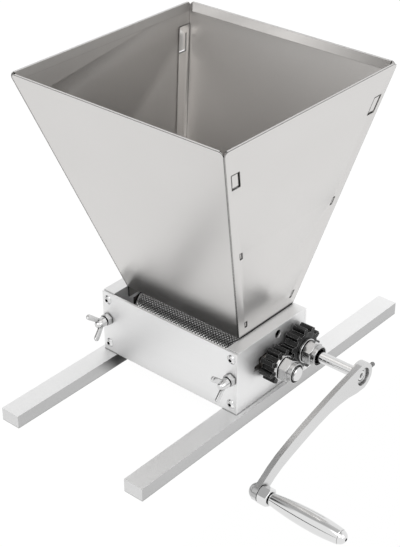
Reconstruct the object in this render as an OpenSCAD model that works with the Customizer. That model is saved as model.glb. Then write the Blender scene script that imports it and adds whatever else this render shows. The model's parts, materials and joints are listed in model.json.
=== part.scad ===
// Hand cranked grain mill with two knurled rollers, a gear pair and a sheet metal hopper.
// Millimetres, Z up. The origin lies at the middle of the overall footprint, on the floor.

/* [Node] */
// Sub-part to build, or all of them

/* [Foot bars] */
// Length of each foot bar
bar_length = 354.6; // [300:0.1:420]
// How far the bars' middle lies behind the housing's middle
bar_shift = 9.4; // [0:0.1:20]
// Width of each foot bar
bar_width = 19.5; // [17:0.1:24]
// Height of each foot bar
bar_height = 12.4; // [11.5:0.1:16]
// How far the bars stand out beyond the side plates
bar_overhang = 4; // [2.5:0.1:5]

/* [Housing] */
// Width over the two side plates
housing_width = 153.8; // [153.4:0.1:156]
// Depth over the front and back plates
housing_depth = 94; // [93.8:0.1:98]
// Height of the side plates
housing_height = 62; // [61:0.1:63.2]
// Thickness of the side plates
side_plate_t = 12.7; // [12.2:0.1:13]
// Thickness of the front and back plates
cover_plate_t = 2.1; // [1.8:0.1:2.2]
// How much lower the front and back plates end at the top
cover_drop = 1; // [0.5:0.1:3]

/* [Rollers] */
// Roller diameter
roller_d = 31.75; // [30.5:0.05:32]
// Roller length
roller_length = 127; // [120:0.1:127.4]
// Bevel at the roller ends
roller_bevel_width = 1; // [0.5:0.1:3]
// Shaft diameter
shaft_d = 12.7; // [12:0.1:13]
// Height of the roller axes above the underside of the side plates
axle_height = 34.6; // [34:0.1:35]
// Gap between the rear roller and the back plate
roller_back_gap = 2; // [1:0.1:3]
// Distance between the two roller axes as set
axle_distance = 32.8; // [32.6:0.05:33]
// Slide travel that brings the rollers closer
gap_close = 0.6; // [0.3:0.05:0.6]
// Slide travel that moves the rollers apart
gap_open = 1; // [0.5:0.05:1]

/* [Bearings] */
// Outer diameter of the drive bushes
bush_d = 16; // [15.5:0.1:17]
// Diameter of the boss on the bearing blocks
block_boss_d = 16.8; // [16:0.1:17]
// How far bosses and flanges stand out of the plate
flange_t = 2.1; // [1.8:0.1:2.3]
// Diameter of the drive bushes' flange
bush_flange_d = 21; // [19:0.1:22]
// Radial clearance of turning and sliding fits
fit_gap = 0.05; // [0.03:0.01:0.08]
// Gap between pieces that pass each other
free_gap = 0.3; // [0.25:0.05:0.4]
// Length of the bearing blocks along the slide
block_length = 28; // [27.5:0.1:28.4]
// Height of the bearing blocks
block_height = 24.4; // [23:0.1:26]
// Thickness of the plate left outside the block pocket
pocket_skin = 2.7; // [2:0.1:3.2]
// Length of the window in that skin
window_length = 24.4; // [23.5:0.1:25]
// Height of the window
window_height = 18; // [17.8:0.1:20]
// Corner radius of the window
window_round = 3; // [1:0.1:5]
// Height of the sight slot ahead of the window
sight_height = 5.4; // [3:0.1:8]
// Length of the sight slot
sight_length = 6; // [3:0.1:10]

/* [Gears] */
// Number of teeth on the drive gear
drive_gear_teeth = 11; // [11:1:11]
// Number of teeth on the driven gear
driven_gear_teeth = 8; // [8:1:8]
// Outer diameter of the drive gear
drive_gear_d = 41.6; // [40.8:0.1:41.6]
// Outer diameter of the driven gear
driven_gear_d = 31; // [30.4:0.1:31.2]
// Angle from level of one tooth of the drive gear
drive_gear_turn = -8.7; // [-16:0.1:16]
// Face width of the gears
gear_t = 12.7; // [11:0.1:14]
// Pressure angle of the teeth
pressure_angle = 20; // [20:1:25]
// Gap left beside meshed teeth at the pitch circle
tooth_gap = 0.35; // [0.3:0.05:0.6]
// Gap left under the tip of a meshed tooth
root_gap = 0.3; // [0.3:0.05:0.5]
// Distance over the two flats of the shaft
shaft_flats_width = 11; // [10.2:0.1:11.6]
// Diameter of the washers
washer_d = 22.2; // [20:0.1:22.2]
// Thickness of the washers
washer_t = 2.5; // [2:0.1:3]
// Size over the flats of the shaft nuts
shaft_nut_af = 19; // [18.6:0.1:20]
// Height of the hexagon of the shaft nuts
shaft_nut_hex = 9; // [7:0.1:10]
// Full height of the shaft nuts
shaft_nut_height = 13; // [12:0.1:14]
// Diameter of the round collar on the nuts
nut_collar_d = 18; // [17.6:0.1:18.4]
// Diameter of the ring set into the collar
nut_ring_d = 15.8; // [15:0.1:16.4]
// Width of that ring along the shaft
nut_ring_t = 3.2; // [2:0.1:3.6]
// How deep the ring sits below the collar's rim
nut_lip = 0.6; // [0.3:0.1:1]
// Length of shaft beyond the nuts
shaft_end_length = 1.8; // [1:0.1:3]

/* [Wing screws] */
// Screw diameter
wing_screw_d = 6; // [5.5:0.1:6.4]
// Size over the flats of the lock nuts
lock_nut_af = 10; // [9.6:0.1:11]
// Height of the lock nuts
lock_nut_t = 5; // [4:0.1:6]
// Diameter of the wing screw's hub
wing_hub_d = 9; // [8:0.1:10]
// Length of the hub
wing_hub_length = 9.5; // [8:0.1:12]
// Radius at which the wing tips are centred
wing_reach = 9; // [8:0.1:12]
// How far the wing tips stand ahead of the hub
wing_rise = 3.5; // [1:0.1:6]
// Diameter of the wing tips
wing_tip_d = 7.6; // [6:0.1:9]
// Thickness of the wings
wing_t = 2.6; // [2:0.1:3.4]
// Turn of the left wing screw's wings from level
left_wing_angle = 115; // [0:1:180]
// Turn of the right wing screw's wings from level
right_wing_angle = 102; // [0:1:180]

/* [Crank] */
// Distance between the shaft axis and the handle axis
crank_length = 140; // [130:0.1:140]
// Droop of the arm from level, toward the front
crank_droop = 15.75; // [10:0.05:15.9]
// Diameter of the shaft's extension
crank_shaft_d = 9.6; // [9:0.1:10.2]
// Depth of the flat on the extension
crank_flat_depth = 1; // [0.6:0.1:1.4]
// Distance from the nut's end to the hub
hub_reach = 37.7; // [30:0.1:40]
// Length of the hub
hub_length = 7; // [6.6:0.1:12]
// Diameter of the hub
hub_d = 25; // [23:0.1:27]
// Diameter of the recess in the hub's face
hub_recess_d = 16.4; // [12:0.1:18]
// Depth of that recess
hub_recess = 2.2; // [1:0.1:2.4]
// Thickness of the arm
arm_t = 5; // [4:0.1:6]
// Diameter of the arm's end
arm_end_d = 15; // [14:0.1:17]
// Diameter of the set screw
set_screw_d = 4; // [3:0.1:4.2]
// How far the set screw stands out of the hub
set_screw_proud = 6; // [3:0.1:8]
// Size over the flats of the set screw's hexagon socket
set_socket_af = 2.5; // [2:0.1:3]
// Depth of that socket
set_socket_depth = 3; // [2:0.1:4]

/* [Handle] */
// Diameter of the spindle
spindle_d = 6.3; // [5.5:0.1:6.8]
// Size over the flats of the handle nut
handle_nut_af = 14; // [13:0.1:16]
// Height of the handle nut
handle_nut_t = 9.4; // [7:0.1:11]
// Diameter of the domed nut behind the arm
cap_nut_d = 14; // [12:0.1:16]
// Height of the domed nut
cap_nut_t = 6; // [5:0.1:7]
// Length of the grip
grip_length = 66; // [60:0.1:90]
// Diameter of the grip's neck
grip_neck_d = 10; // [9.6:0.1:11]
// Largest diameter of the grip
grip_belly_d = 16; // [14:0.1:16.6]
// Diameter of the grip's outer end
grip_end_d = 12.6; // [11.6:0.1:14]
// Diameter of the spindle's head
spindle_head_d = 11.6; // [10:0.1:12]
// Height of the spindle's domed head
spindle_head_t = 5; // [3:0.1:6]

/* [Hopper] */
// Height of the hopper's rim above the floor
rim_height = 288.7; // [240:0.1:320]
// Width over the hopper's rim
rim_width = 219.6; // [200:0.1:230]
// Depth over the hopper's rim
rim_depth = 215.4; // [190:0.1:225]
// How far the rim's middle lies behind the housing's middle
rim_shift = 2.6; // [0:0.1:10]
// Clearance between the hopper's foot and the housing
hopper_gap = 0.25; // [0.2:0.05:0.3]
// Gap between the front plate and the hopper's foot
throat_front_gap = 16; // [12:0.1:17]
// Thickness of the sheet
sheet_t = 1; // [0.9:0.05:1.2]
// Gap between sheets that lie on each other
lap_gap = 0.1; // [0.05:0.01:0.15]
// Height of the folded rim
hem_height = 7.2; // [5:0.1:12]
// How far the folded rim ends before the corner
hem_end = 4; // [3.5:0.1:6]
// Radius of the panels' top corners
rim_round = 3.5; // [2:0.1:6]
// Width of the flanges on the front and back panels
flange_width = 15; // [15:0.1:20]
// Height at which the flanges end below the rim
flange_drop = 18; // [12:0.1:18]
// Height of the tabs that hold the hopper inside the side plates
foot_tab = 11.5; // [11.2:0.1:11.6]
// Inset of those tabs from the hopper's corners
foot_tab_inset = 1.5; // [1:0.1:4]
// How far the guide flaps reach in over the front roller
front_flap_reach = 13.4; // [8:0.1:13.6]
// How far the guide flaps reach in over the rear roller
back_flap_reach = 9; // [6:0.1:10]
// Height of the guide flaps
flap_height = 10; // [8:0.1:10.2]
// Distance of the middle of the large slots below the end of the flanges
slot_drop = 14; // [10:0.1:16]
// Distance of the slots' middle from the corner
slot_inset = 10; // [9.8:0.1:10.4]
// Width of the small slots
slot_width = 3; // [2.4:0.1:4]
// Height of the small slots
slot_height = 7; // [6:0.1:9]
// Width of the large slots
hook_width = 9.4; // [8:0.1:9.6]
// Height of the large slots
hook_height = 15; // [12:0.1:16]
// Gap that the large tabs leave open on two sides of their slot
hook_gap = 2; // [1.5:0.1:3]
// Gap behind and under the small tabs
tab_gap = 1.2; // [0.8:0.1:1.4]

/* [Screws] */
// Diameter of the plate screws
cover_screw_d = 4; // [3.5:0.1:4.5]
// Length of the plate screws under the head
cover_screw_length = 12; // [10:0.1:14]
// Diameter of the plate screws' domed heads
cover_head_d = 7; // [6.6:0.1:8]
// Height of those heads
cover_head_t = 2.3; // [2:0.1:2.6]
// Size over the flats of their hexagon sockets
cover_socket_af = 2.5; // [2:0.1:3]
// Depth of those sockets
cover_socket_depth = 1.4; // [1:0.1:1.6]
// Distance of the upper plate screws below the side plates' top
cover_screw_drop = 8; // [7:0.1:9]
// Height of the lower plate screws above the side plates' underside
cover_screw_rise = 8.7; // [8:0.1:10]
// Diameter of the hopper screws
hopper_screw_d = 4; // [3.5:0.1:4.4]
// Diameter of the hopper screws' heads
hopper_head_d = 7.6; // [7:0.1:8]
// Height of those heads
hopper_head_t = 4; // [3:0.1:5]
// Depth at which they sit below the plate's face
hopper_head_sink = 0.6; // [0.3:0.1:1]
// Position of the hopper screws behind the housing's middle
hopper_screw_y = 7.2; // [5:0.1:9]
// Distance of the hopper screws below the side plates' top
hopper_screw_drop = 7.4; // [7:0.1:7.7]
// How far the hopper screws stand out inside the hopper
hopper_screw_tip = 1; // [0.5:0.1:2]
// Diameter of the foot screws
foot_screw_d = 5; // [4.5:0.1:6]
// Length of the foot screws inside the side plates
foot_screw_hold = 12; // [9:0.1:14]
// Diameter of the foot screws' heads
foot_head_d = 8.5; // [8:0.1:9.5]
// Height of those heads
foot_head_t = 5; // [4:0.1:5.4]
// Depth at which they sit above the bars' underside
foot_head_sink = 0.8; // [0.5:0.1:1.2]
// Distance of the foot screws from the faces of the cover plates
foot_screw_inset = 17; // [17:0.1:22]
// Clearance around screw shanks and heads in their holes
screw_gap = 0.1; // [0.06:0.01:0.15]

/* [Hidden] */
$fn = 72;

// Outline of the arm: share of the length along it, top edge, lower edge
arm_outline_shares = [
    [0.00, 0.093, -0.093],
    [0.08, 0.101, -0.070],
    [0.16, 0.107, -0.033],
    [0.25, 0.112, -0.006],
    [0.34, 0.115, 0.013],
    [0.45, 0.117, 0.021],
    [0.58, 0.117, 0.022],
    [0.70, 0.112, 0.020],
    [0.80, 0.104, 0.015],
    [0.88, 0.088, 0.000],
    [0.95, 0.066, -0.025],
    [1.00, 0.052, -0.048]
];

// Height of the three slots along each corner, as shares of the hopper's height
slot_low_share = 0.06;
slot_mid_share = 0.463;

// Share of the grip's length at which it is thickest
grip_belly_share = 0.62;

// Cut that runs past a face
cut_past = 1;

plate_outer_x = housing_width / 2;
plate_inner_x = plate_outer_x - side_plate_t;
plate_mid_x = plate_outer_x - side_plate_t / 2;
plate_end_y = housing_depth / 2 - cover_plate_t;
foot_screw_y = housing_depth / 2 - foot_screw_inset;
housing_top = bar_height + housing_height;
axle_z = bar_height + axle_height;
drive_y = plate_end_y - roller_back_gap - roller_d / 2;
driven_y = drive_y - axle_distance;

// Stations along the shafts
boss_x = plate_outer_x + flange_t;
gear_x = boss_x + free_gap;
washer_x = gear_x + gear_t;
nut_x = washer_x + washer_t;
nut_end_x = nut_x + shaft_nut_height;
hub_x = nut_end_x + hub_reach;
hub_face_x = hub_x + hub_length;
crank_shaft_x = hub_face_x - hub_recess;
set_screw_x = (hub_x + crank_shaft_x) / 2;
arm_x = hub_face_x - arm_t;
handle_nut_x = hub_face_x + handle_nut_t;
grip_x = handle_nut_x + free_gap;
grip_end_x = grip_x + grip_length;
head_x = grip_end_x + free_gap;
tip_x = head_x + spindle_head_t;

// Handle axis
handle_y = drive_y - crank_length * cos(crank_droop);
handle_z = axle_z - crank_length * sin(crank_droop);

// Bearing blocks
block_x = plate_inner_x + free_gap;
block_t = side_plate_t - pocket_skin - 2 * free_gap;
pocket_depth = side_plate_t - pocket_skin;
block_front_y = driven_y - block_length / 2;
pocket_front_y = block_front_y - gap_open - free_gap;
pocket_length = block_length + gap_open + gap_close + 2 * free_gap;
window_front_y = driven_y - window_length / 2;

// Gear geometry, laid out for the closest setting of the rollers
closest_distance = axle_distance - gap_close;
teeth_sum = drive_gear_teeth + driven_gear_teeth;
driven_gear_turn = (180 - (drive_gear_turn - 180) * drive_gear_teeth) / driven_gear_teeth;
flank_steps = 6;

// Slant of the edges of a wing
wing_flare = 35;

// Hopper geometry
hopper_foot_z = housing_top + 2 * free_gap;
throat_half = plate_inner_x - hopper_gap;
hopper_height = rim_height - hopper_foot_z;
side_slope = (rim_width / 2 - throat_half) / hopper_height;
front_foot_y = throat_front_gap - plate_end_y;
back_foot_y = plate_end_y - hopper_gap;
throat_depth = back_foot_y - front_foot_y;
front_slope = (rim_depth / 2 - rim_shift + front_foot_y) / hopper_height;
back_slope = (rim_depth / 2 + rim_shift - back_foot_y) / hopper_height;
side_t = sheet_t * sqrt(1 + side_slope * side_slope);
front_t = sheet_t * sqrt(1 + front_slope * front_slope);
back_t = sheet_t * sqrt(1 + back_slope * back_slope);
hem_z = rim_height - hem_height;
rim_bend_z = rim_height - sheet_t;
flange_top_z = rim_height - flange_drop;
side_lap = side_t + lap_gap;
panel_half_foot = throat_half - side_lap;
panel_half_rim = rim_width / 2 - side_lap;
corner_steps = 6;

function side_x(z) = throat_half + (z - hopper_foot_z) * side_slope;
function front_y(z) = front_foot_y - (z - hopper_foot_z) * front_slope;
function back_y(z) = back_foot_y + (z - hopper_foot_z) * back_slope;

// Middle of the overall footprint
footprint_left_x = -rim_width / 2;
footprint_mid_x = (footprint_left_x + tip_x) / 2;
footprint_mid_y = bar_shift;
to_origin = [-footprint_mid_x, -footprint_mid_y, 0];

bar_color = [0.78, 0.78, 0.79];
plate_color = [0.86, 0.86, 0.87];
steel_color = [0.62, 0.62, 0.64];
dark_color = [0.10, 0.10, 0.11];
bronze_color = [0.62, 0.48, 0.28];
bright_color = [0.80, 0.80, 0.82];
sheet_color = [0.80, 0.80, 0.80];
arm_color = [0.83, 0.83, 0.83];
ring_color = [0.14, 0.14, 0.15];

// Round bar along the width between two stations
module rod_x(from, to, d) {
    translate([from, 0, 0])
        rotate([0, 90, 0])
            cylinder(d = d, h = to - from);
}

// Round bar along the depth between two stations
module rod_y(from, to, d) {
    translate([0, from, 0])
        rotate([-90, 0, 0])
            cylinder(d = d, h = to - from);
}

// Hexagonal bar along the width, size over its flats
module hex_x(from, to, af) {
    translate([from, 0, 0])
        rotate([0, 90, 0])
            cylinder(d = af / cos(30), h = to - from, $fn = 6);
}

// Hexagonal bar along the depth, size over its flats
module hex_y(from, to, af) {
    translate([0, from, 0])
        rotate([-90, 0, 0])
            cylinder(d = af / cos(30), h = to - from, $fn = 6);
}

// Outline given as depth and height, extruded across the width
module across_x(from, to) {
    translate([from, 0, 0])
        rotate([90, 0, 90])
            linear_extrude(height = to - from)
                children();
}

// Outline given as width and height, extruded along the depth
module along_y(from, to) {
    translate([0, to, 0])
        rotate([90, 0, 0])
            linear_extrude(height = to - from)
                children();
}

// Domed screw head standing on its seat, with a hexagon socket
module dome_head(d, h, socket_af, socket_depth) {
    dome_r = (d * d / 4 + h * h) / (2 * h);
    difference() {
        intersection() {
            translate([0, 0, h - dome_r])
                sphere(r = dome_r);
            cylinder(d = d, h = h);
        }
        translate([0, 0, h - socket_depth])
            cylinder(d = socket_af / cos(30), h = socket_depth + cut_past, $fn = 6);
    }
}

module at_drive_axis() {
    translate([0, drive_y, axle_z])
        children();
}

module at_driven_axis() {
    translate([0, driven_y, axle_z])
        children();
}

module at_handle_axis() {
    translate([0, handle_y, handle_z])
        children();
}

// Places a copy at each screw position of one end of the side plates
module at_cover_screws() {
    for (x = [-plate_mid_x, plate_mid_x]) {
        for (z = [bar_height + cover_screw_rise, housing_top - cover_screw_drop]) {
            translate([x, 0, z])
                children();
        }
    }
}

module foot_bar() {
    difference() {
        translate([plate_outer_x + bar_overhang - bar_width, bar_shift - bar_length / 2, 0])
            cube([bar_width, bar_length, bar_height]);
        for (y = [-foot_screw_y, foot_screw_y]) {
            translate([plate_mid_x, y, -cut_past]) {
                cylinder(d = foot_screw_d + 2 * screw_gap, h = bar_height + 2 * cut_past);
                cylinder(
                    d = foot_head_d + 2 * screw_gap,
                    h = foot_head_sink + foot_head_t + cut_past
                );
            }
        }
    }
}

module left_foot_bar() {
    color(bar_color)
        translate(to_origin)
            mirror([1, 0, 0])
                foot_bar();
}

module right_foot_bar() {
    color(bar_color)
        translate(to_origin)
            foot_bar();
}

module foot_screws() {
    color(bright_color)
        translate(to_origin)
            for (x = [-plate_mid_x, plate_mid_x]) {
                for (y = [-foot_screw_y, foot_screw_y]) {
                    translate([x, y, foot_head_sink])
                        difference() {
                            union() {
                                cylinder(d = foot_head_d, h = foot_head_t);
                                cylinder(
                                    d = foot_screw_d,
                                    h = bar_height - foot_head_sink + foot_screw_hold
                                );
                            }
                            translate([0, 0, -cut_past])
                                cylinder(
                                    d = foot_head_d / 2,
                                    h = foot_head_t / 2 + cut_past,
                                    $fn = 6
                                );
                        }
                }
            }
}

// Window with rounded corners, given as depth and height
module window_outline() {
    inner_length = window_length - 2 * window_round;
    inner_height = window_height - 2 * window_round;
    translate([driven_y, axle_z]) {
        square([window_length, inner_height], center = true);
        square([inner_length, window_height], center = true);
        for (y = [-inner_length / 2, inner_length / 2]) {
            for (z = [-inner_height / 2, inner_height / 2]) {
                translate([y, z])
                    circle(r = window_round);
            }
        }
    }
}

module side_plate() {
    plate_depth = 2 * plate_end_y;
    pocket_height = block_height + 2 * fit_gap;
    difference() {
        translate([plate_inner_x, -plate_end_y, bar_height])
            cube([side_plate_t, plate_depth, housing_height]);
        at_drive_axis()
            rod_x(plate_inner_x - cut_past, plate_outer_x + cut_past, bush_d);
        translate([plate_inner_x - cut_past, pocket_front_y, axle_z - pocket_height / 2])
            cube([pocket_depth + cut_past, pocket_length, pocket_height]);
        across_x(plate_inner_x, plate_outer_x + cut_past)
            window_outline();
        translate([
            plate_inner_x + pocket_depth - cut_past,
            window_front_y - sight_length,
            axle_z - sight_height / 2
        ])
            cube([pocket_skin + 2 * cut_past, sight_length + window_round, sight_height]);
        translate([plate_mid_x, 0, axle_z])
            rod_y(-plate_end_y - cut_past, driven_y, wing_screw_d + 2 * fit_gap);
        for (y = [-foot_screw_y, foot_screw_y]) {
            translate([plate_mid_x, y, bar_height - cut_past])
                cylinder(
                    d = foot_screw_d + 2 * screw_gap,
                    h = foot_screw_hold + 2 * cut_past
                );
        }
        for (end = [0, 1]) {
            mirror([0, end, 0])
                at_cover_screws()
                    rod_y(
                        -plate_end_y - cut_past,
                        -plate_end_y + cover_screw_length,
                        cover_screw_d + 2 * screw_gap
                    );
        }
        translate([0, hopper_screw_y, housing_top - hopper_screw_drop]) {
            rod_x(
                plate_inner_x - cut_past,
                plate_outer_x + cut_past,
                hopper_screw_d + 2 * screw_gap
            );
            rod_x(
                plate_outer_x - hopper_head_sink - hopper_head_t,
                plate_outer_x + cut_past,
                hopper_head_d + 2 * screw_gap
            );
        }
    }
}

module left_side_plate() {
    color(plate_color)
        translate(to_origin)
            mirror([1, 0, 0])
                side_plate();
}

module right_side_plate() {
    color(plate_color)
        translate(to_origin)
            side_plate();
}

module cover_plate() {
    difference() {
        translate([-plate_outer_x, -housing_depth / 2, bar_height])
            cube([housing_width, cover_plate_t, housing_height - cover_drop]);
        at_cover_screws()
            rod_y(
                -housing_depth / 2 - cut_past,
                -plate_end_y + cut_past,
                cover_screw_d + 2 * screw_gap
            );
    }
}

module front_plate() {
    color(plate_color)
        translate(to_origin)
            difference() {
                cover_plate();
                for (x = [-plate_mid_x, plate_mid_x]) {
                    translate([x, 0, axle_z])
                        rod_y(
                            -housing_depth / 2 - cut_past,
                            -plate_end_y + cut_past,
                            wing_screw_d + 2 * free_gap
                        );
                }
            }
}

module back_plate() {
    color(plate_color)
        translate(to_origin)
            mirror([0, 1, 0])
                cover_plate();
}

module cover_screws() {
    at_cover_screws() {
        rod_y(
            -housing_depth / 2,
            -housing_depth / 2 + cover_screw_length,
            cover_screw_d
        );
        translate([0, -housing_depth / 2, 0])
            rotate([90, 0, 0])
                dome_head(cover_head_d, cover_head_t, cover_socket_af, cover_socket_depth);
    }
}

module front_plate_screws() {
    color(bright_color)
        translate(to_origin)
            cover_screws();
}

module back_plate_screws() {
    color(bright_color)
        translate(to_origin)
            mirror([0, 1, 0])
                cover_screws();
}

// Roller with its journals and the flats and thread for its gear
module roller_shaft(end_x) {
    roller_x = roller_length / 2;
    bevel_d = roller_d - 2 * roller_bevel_width;
    rod_x(roller_bevel_width - roller_x, roller_x - roller_bevel_width, roller_d);
    translate([roller_x - roller_bevel_width, 0, 0])
        rotate([0, 90, 0])
            cylinder(d1 = roller_d, d2 = bevel_d, h = roller_bevel_width);
    translate([roller_bevel_width - roller_x, 0, 0])
        rotate([0, -90, 0])
            cylinder(d1 = roller_d, d2 = bevel_d, h = roller_bevel_width);
    rod_x(free_gap - boss_x, boss_x, shaft_d);
    intersection() {
        rod_x(boss_x, nut_x, shaft_d);
        translate([boss_x, -shaft_d / 2, -shaft_flats_width / 2])
            cube([nut_x - boss_x, shaft_d, shaft_flats_width]);
    }
    rod_x(nut_x, end_x, shaft_d);
}

module drive_roller() {
    color(steel_color)
        translate(to_origin)
            at_drive_axis() {
                roller_shaft(nut_end_x - nut_lip);
                difference() {
                    rod_x(nut_end_x - nut_lip, crank_shaft_x, crank_shaft_d);
                    translate([
                        hub_x,
                        crank_shaft_d / 2 - crank_flat_depth,
                        -crank_shaft_d / 2
                    ])
                        cube([hub_length, crank_flat_depth + cut_past, crank_shaft_d]);
                }
            }
}

module driven_roller() {
    color(steel_color)
        translate(to_origin)
            at_driven_axis()
                roller_shaft(nut_end_x + shaft_end_length);
}

module drive_bush() {
    at_drive_axis()
        difference() {
            union() {
                rod_x(plate_inner_x, plate_outer_x, bush_d);
                rod_x(plate_outer_x, boss_x, bush_flange_d);
            }
            rod_x(plate_inner_x - cut_past, boss_x + cut_past, shaft_d + 2 * fit_gap);
        }
}

module left_drive_bush() {
    color(bronze_color)
        translate(to_origin)
            mirror([1, 0, 0])
                drive_bush();
}

module right_drive_bush() {
    color(bronze_color)
        translate(to_origin)
            drive_bush();
}

module bearing_block() {
    difference() {
        union() {
            translate([block_x, block_front_y, axle_z - block_height / 2])
                cube([block_t, block_length, block_height]);
            at_driven_axis()
                rod_x(block_x, boss_x, block_boss_d);
        }
        at_driven_axis()
            rod_x(block_x - cut_past, boss_x + cut_past, shaft_d + 2 * fit_gap);
    }
}

module left_bearing_block() {
    color(bronze_color)
        translate(to_origin)
            mirror([1, 0, 0])
                bearing_block();
}

module right_bearing_block() {
    color(bronze_color)
        translate(to_origin)
            bearing_block();
}

// Involute tooth: half of the angle it fills at a radius
function involute(angle) = tan(angle) * 180 / PI - angle;
function pitch_r(teeth) = closest_distance * teeth / teeth_sum;
function base_r(teeth) = pitch_r(teeth) * cos(pressure_angle);
function half_tooth(teeth, r) =
    90 / teeth
    - tooth_gap / (2 * pitch_r(teeth)) * 180 / PI
    + involute(pressure_angle)
    - involute(acos(min(1, base_r(teeth) / r)));
function flank_r(teeth, root_r, tip_r, step) =
    step < 0 ? root_r : base_r(teeth) + (tip_r - base_r(teeth)) * step / flank_steps;
function on_circle(r, angle) = [r * cos(angle), r * sin(angle)];

module gear_outline(teeth, tip_r, other_tip_r) {
    root_r = closest_distance - other_tip_r - root_gap;
    polygon([
        for (tooth = [0 : teeth - 1])
            for (side = [-1, 1])
                for (step = [-1 : flank_steps])
                    let (near = side < 0 ? step : flank_steps - 1 - step)
                        let (r = flank_r(teeth, root_r, tip_r, near))
                            on_circle(r, tooth * 360 / teeth + side * half_tooth(teeth, r))
    ]);
}

// Gear with a bore that fits the flats of its shaft
module gear(teeth, tip_r, other_tip_r, turn) {
    bore_flats = shaft_flats_width + 2 * fit_gap;
    difference() {
        rotate([turn, 0, 0])
            across_x(gear_x, washer_x)
                gear_outline(teeth, tip_r, other_tip_r);
        intersection() {
            rod_x(gear_x - cut_past, washer_x + cut_past, shaft_d + 2 * fit_gap);
            translate([gear_x - cut_past, -shaft_d, -bore_flats / 2])
                cube([gear_t + 2 * cut_past, 2 * shaft_d, bore_flats]);
        }
    }
}

module drive_gear() {
    color(dark_color)
        translate(to_origin)
            at_drive_axis()
                gear(drive_gear_teeth, drive_gear_d / 2, driven_gear_d / 2, drive_gear_turn);
}

module driven_gear() {
    color(dark_color)
        translate(to_origin)
            at_driven_axis()
                gear(driven_gear_teeth, driven_gear_d / 2, drive_gear_d / 2, driven_gear_turn);
}

module gear_washer() {
    difference() {
        rod_x(washer_x, nut_x, washer_d);
        rod_x(washer_x - cut_past, nut_x + cut_past, shaft_d + 2 * fit_gap);
    }
}

module drive_gear_washer() {
    color(bright_color)
        translate(to_origin)
            at_drive_axis()
                gear_washer();
}

module driven_gear_washer() {
    color(bright_color)
        translate(to_origin)
            at_driven_axis()
                gear_washer();
}

module shaft_nut() {
    ring_x = nut_end_x - nut_lip - nut_ring_t;
    difference() {
        union() {
            hex_x(nut_x, nut_x + shaft_nut_hex, shaft_nut_af);
            rod_x(nut_x, nut_end_x, nut_collar_d);
        }
        rod_x(nut_x - cut_past, nut_end_x + cut_past, shaft_d + 2 * fit_gap);
        rod_x(ring_x, nut_end_x + cut_past, nut_ring_d);
    }
}

module nut_ring() {
    ring_x = nut_end_x - nut_lip - nut_ring_t;
    difference() {
        rod_x(ring_x, ring_x + nut_ring_t, nut_ring_d);
        rod_x(ring_x - cut_past, nut_end_x + cut_past, shaft_d + 2 * fit_gap);
    }
}

module drive_gear_nut() {
    color(bright_color)
        translate(to_origin)
            at_drive_axis()
                shaft_nut();
}

module driven_gear_nut() {
    color(bright_color)
        translate(to_origin)
            at_driven_axis()
                shaft_nut();
}

module drive_nut_ring() {
    color(ring_color)
        translate(to_origin)
            at_drive_axis()
                nut_ring();
}

module driven_nut_ring() {
    color(ring_color)
        translate(to_origin)
            at_driven_axis()
                nut_ring();
}

// One wing, given as distance from the axis and distance ahead of the nut
module wing_outline() {
    translate([wing_reach, wing_hub_length + wing_rise])
        circle(d = wing_tip_d);
    polygon([
        [0, 0],
        [wing_hub_d / 2, 0],
        [
            wing_reach + wing_tip_d / 2 * cos(wing_flare),
            wing_hub_length + wing_rise - wing_tip_d / 2 * sin(wing_flare)
        ],
        [
            wing_reach - wing_tip_d / 2 * cos(wing_flare),
            wing_hub_length + wing_rise + wing_tip_d / 2 * sin(wing_flare)
        ],
        [0, wing_hub_length]
    ]);
}

module wing_screw(turn) {
    hub_start_y = housing_depth / 2 + lock_nut_t + gap_close + free_gap;
    translate([0, 0, axle_z]) {
        rod_y(-hub_start_y - wing_hub_length, block_front_y, wing_screw_d);
        translate([0, -hub_start_y, 0])
            rotate([90, 0, 0]) {
                cylinder(d1 = wing_hub_d, d2 = wing_screw_d, h = wing_hub_length);
                for (side = [0, 180]) {
                    rotate([0, 0, turn + side])
                        translate([0, wing_t / 2, 0])
                            rotate([90, 0, 0])
                                linear_extrude(height = wing_t)
                                    wing_outline();
                }
            }
    }
}

module left_wing_screw() {
    color(bright_color)
        translate(to_origin)
            translate([-plate_mid_x, 0, 0])
                wing_screw(left_wing_angle);
}

module right_wing_screw() {
    color(bright_color)
        translate(to_origin)
            translate([plate_mid_x, 0, 0])
                wing_screw(right_wing_angle);
}

module lock_nut() {
    translate([0, 0, axle_z])
        difference() {
            hex_y(-housing_depth / 2 - lock_nut_t, -housing_depth / 2, lock_nut_af);
            rod_y(
                -housing_depth / 2 - lock_nut_t - cut_past,
                -housing_depth / 2 + cut_past,
                wing_screw_d + 2 * fit_gap
            );
        }
}

module left_lock_nut() {
    color(bright_color)
        translate(to_origin)
            translate([-plate_mid_x, 0, 0])
                lock_nut();
}

module right_lock_nut() {
    color(bright_color)
        translate(to_origin)
            translate([plate_mid_x, 0, 0])
                lock_nut();
}

// Slanted strip of a side panel, given as width and height
module side_strip(inset, low, high) {
    polygon([
        [side_x(low) - inset, low],
        [side_x(high) - inset, high],
        [side_x(high) - inset - side_t, high],
        [side_x(low) - inset - side_t, low]
    ]);
}

// Slanted strip of the front or back panel, given as depth and height
module front_strip(inset, low, high) {
    polygon([
        [front_y(low) + inset, low],
        [front_y(high) + inset, high],
        [front_y(high) + inset + front_t, high],
        [front_y(low) + inset + front_t, low]
    ]);
}

module back_strip(inset, low, high) {
    polygon([
        [back_y(low) - inset, low],
        [back_y(high) - inset, high],
        [back_y(high) - inset - back_t, high],
        [back_y(low) - inset - back_t, low]
    ]);
}

// Area between two heights, set in from the front and back corner lines
module depth_span(front_inset, back_inset, low, high) {
    polygon([
        [front_y(low) + front_inset, low],
        [back_y(low) - back_inset, low],
        [back_y(high) - back_inset, high],
        [front_y(high) + front_inset, high]
    ]);
}

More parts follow.
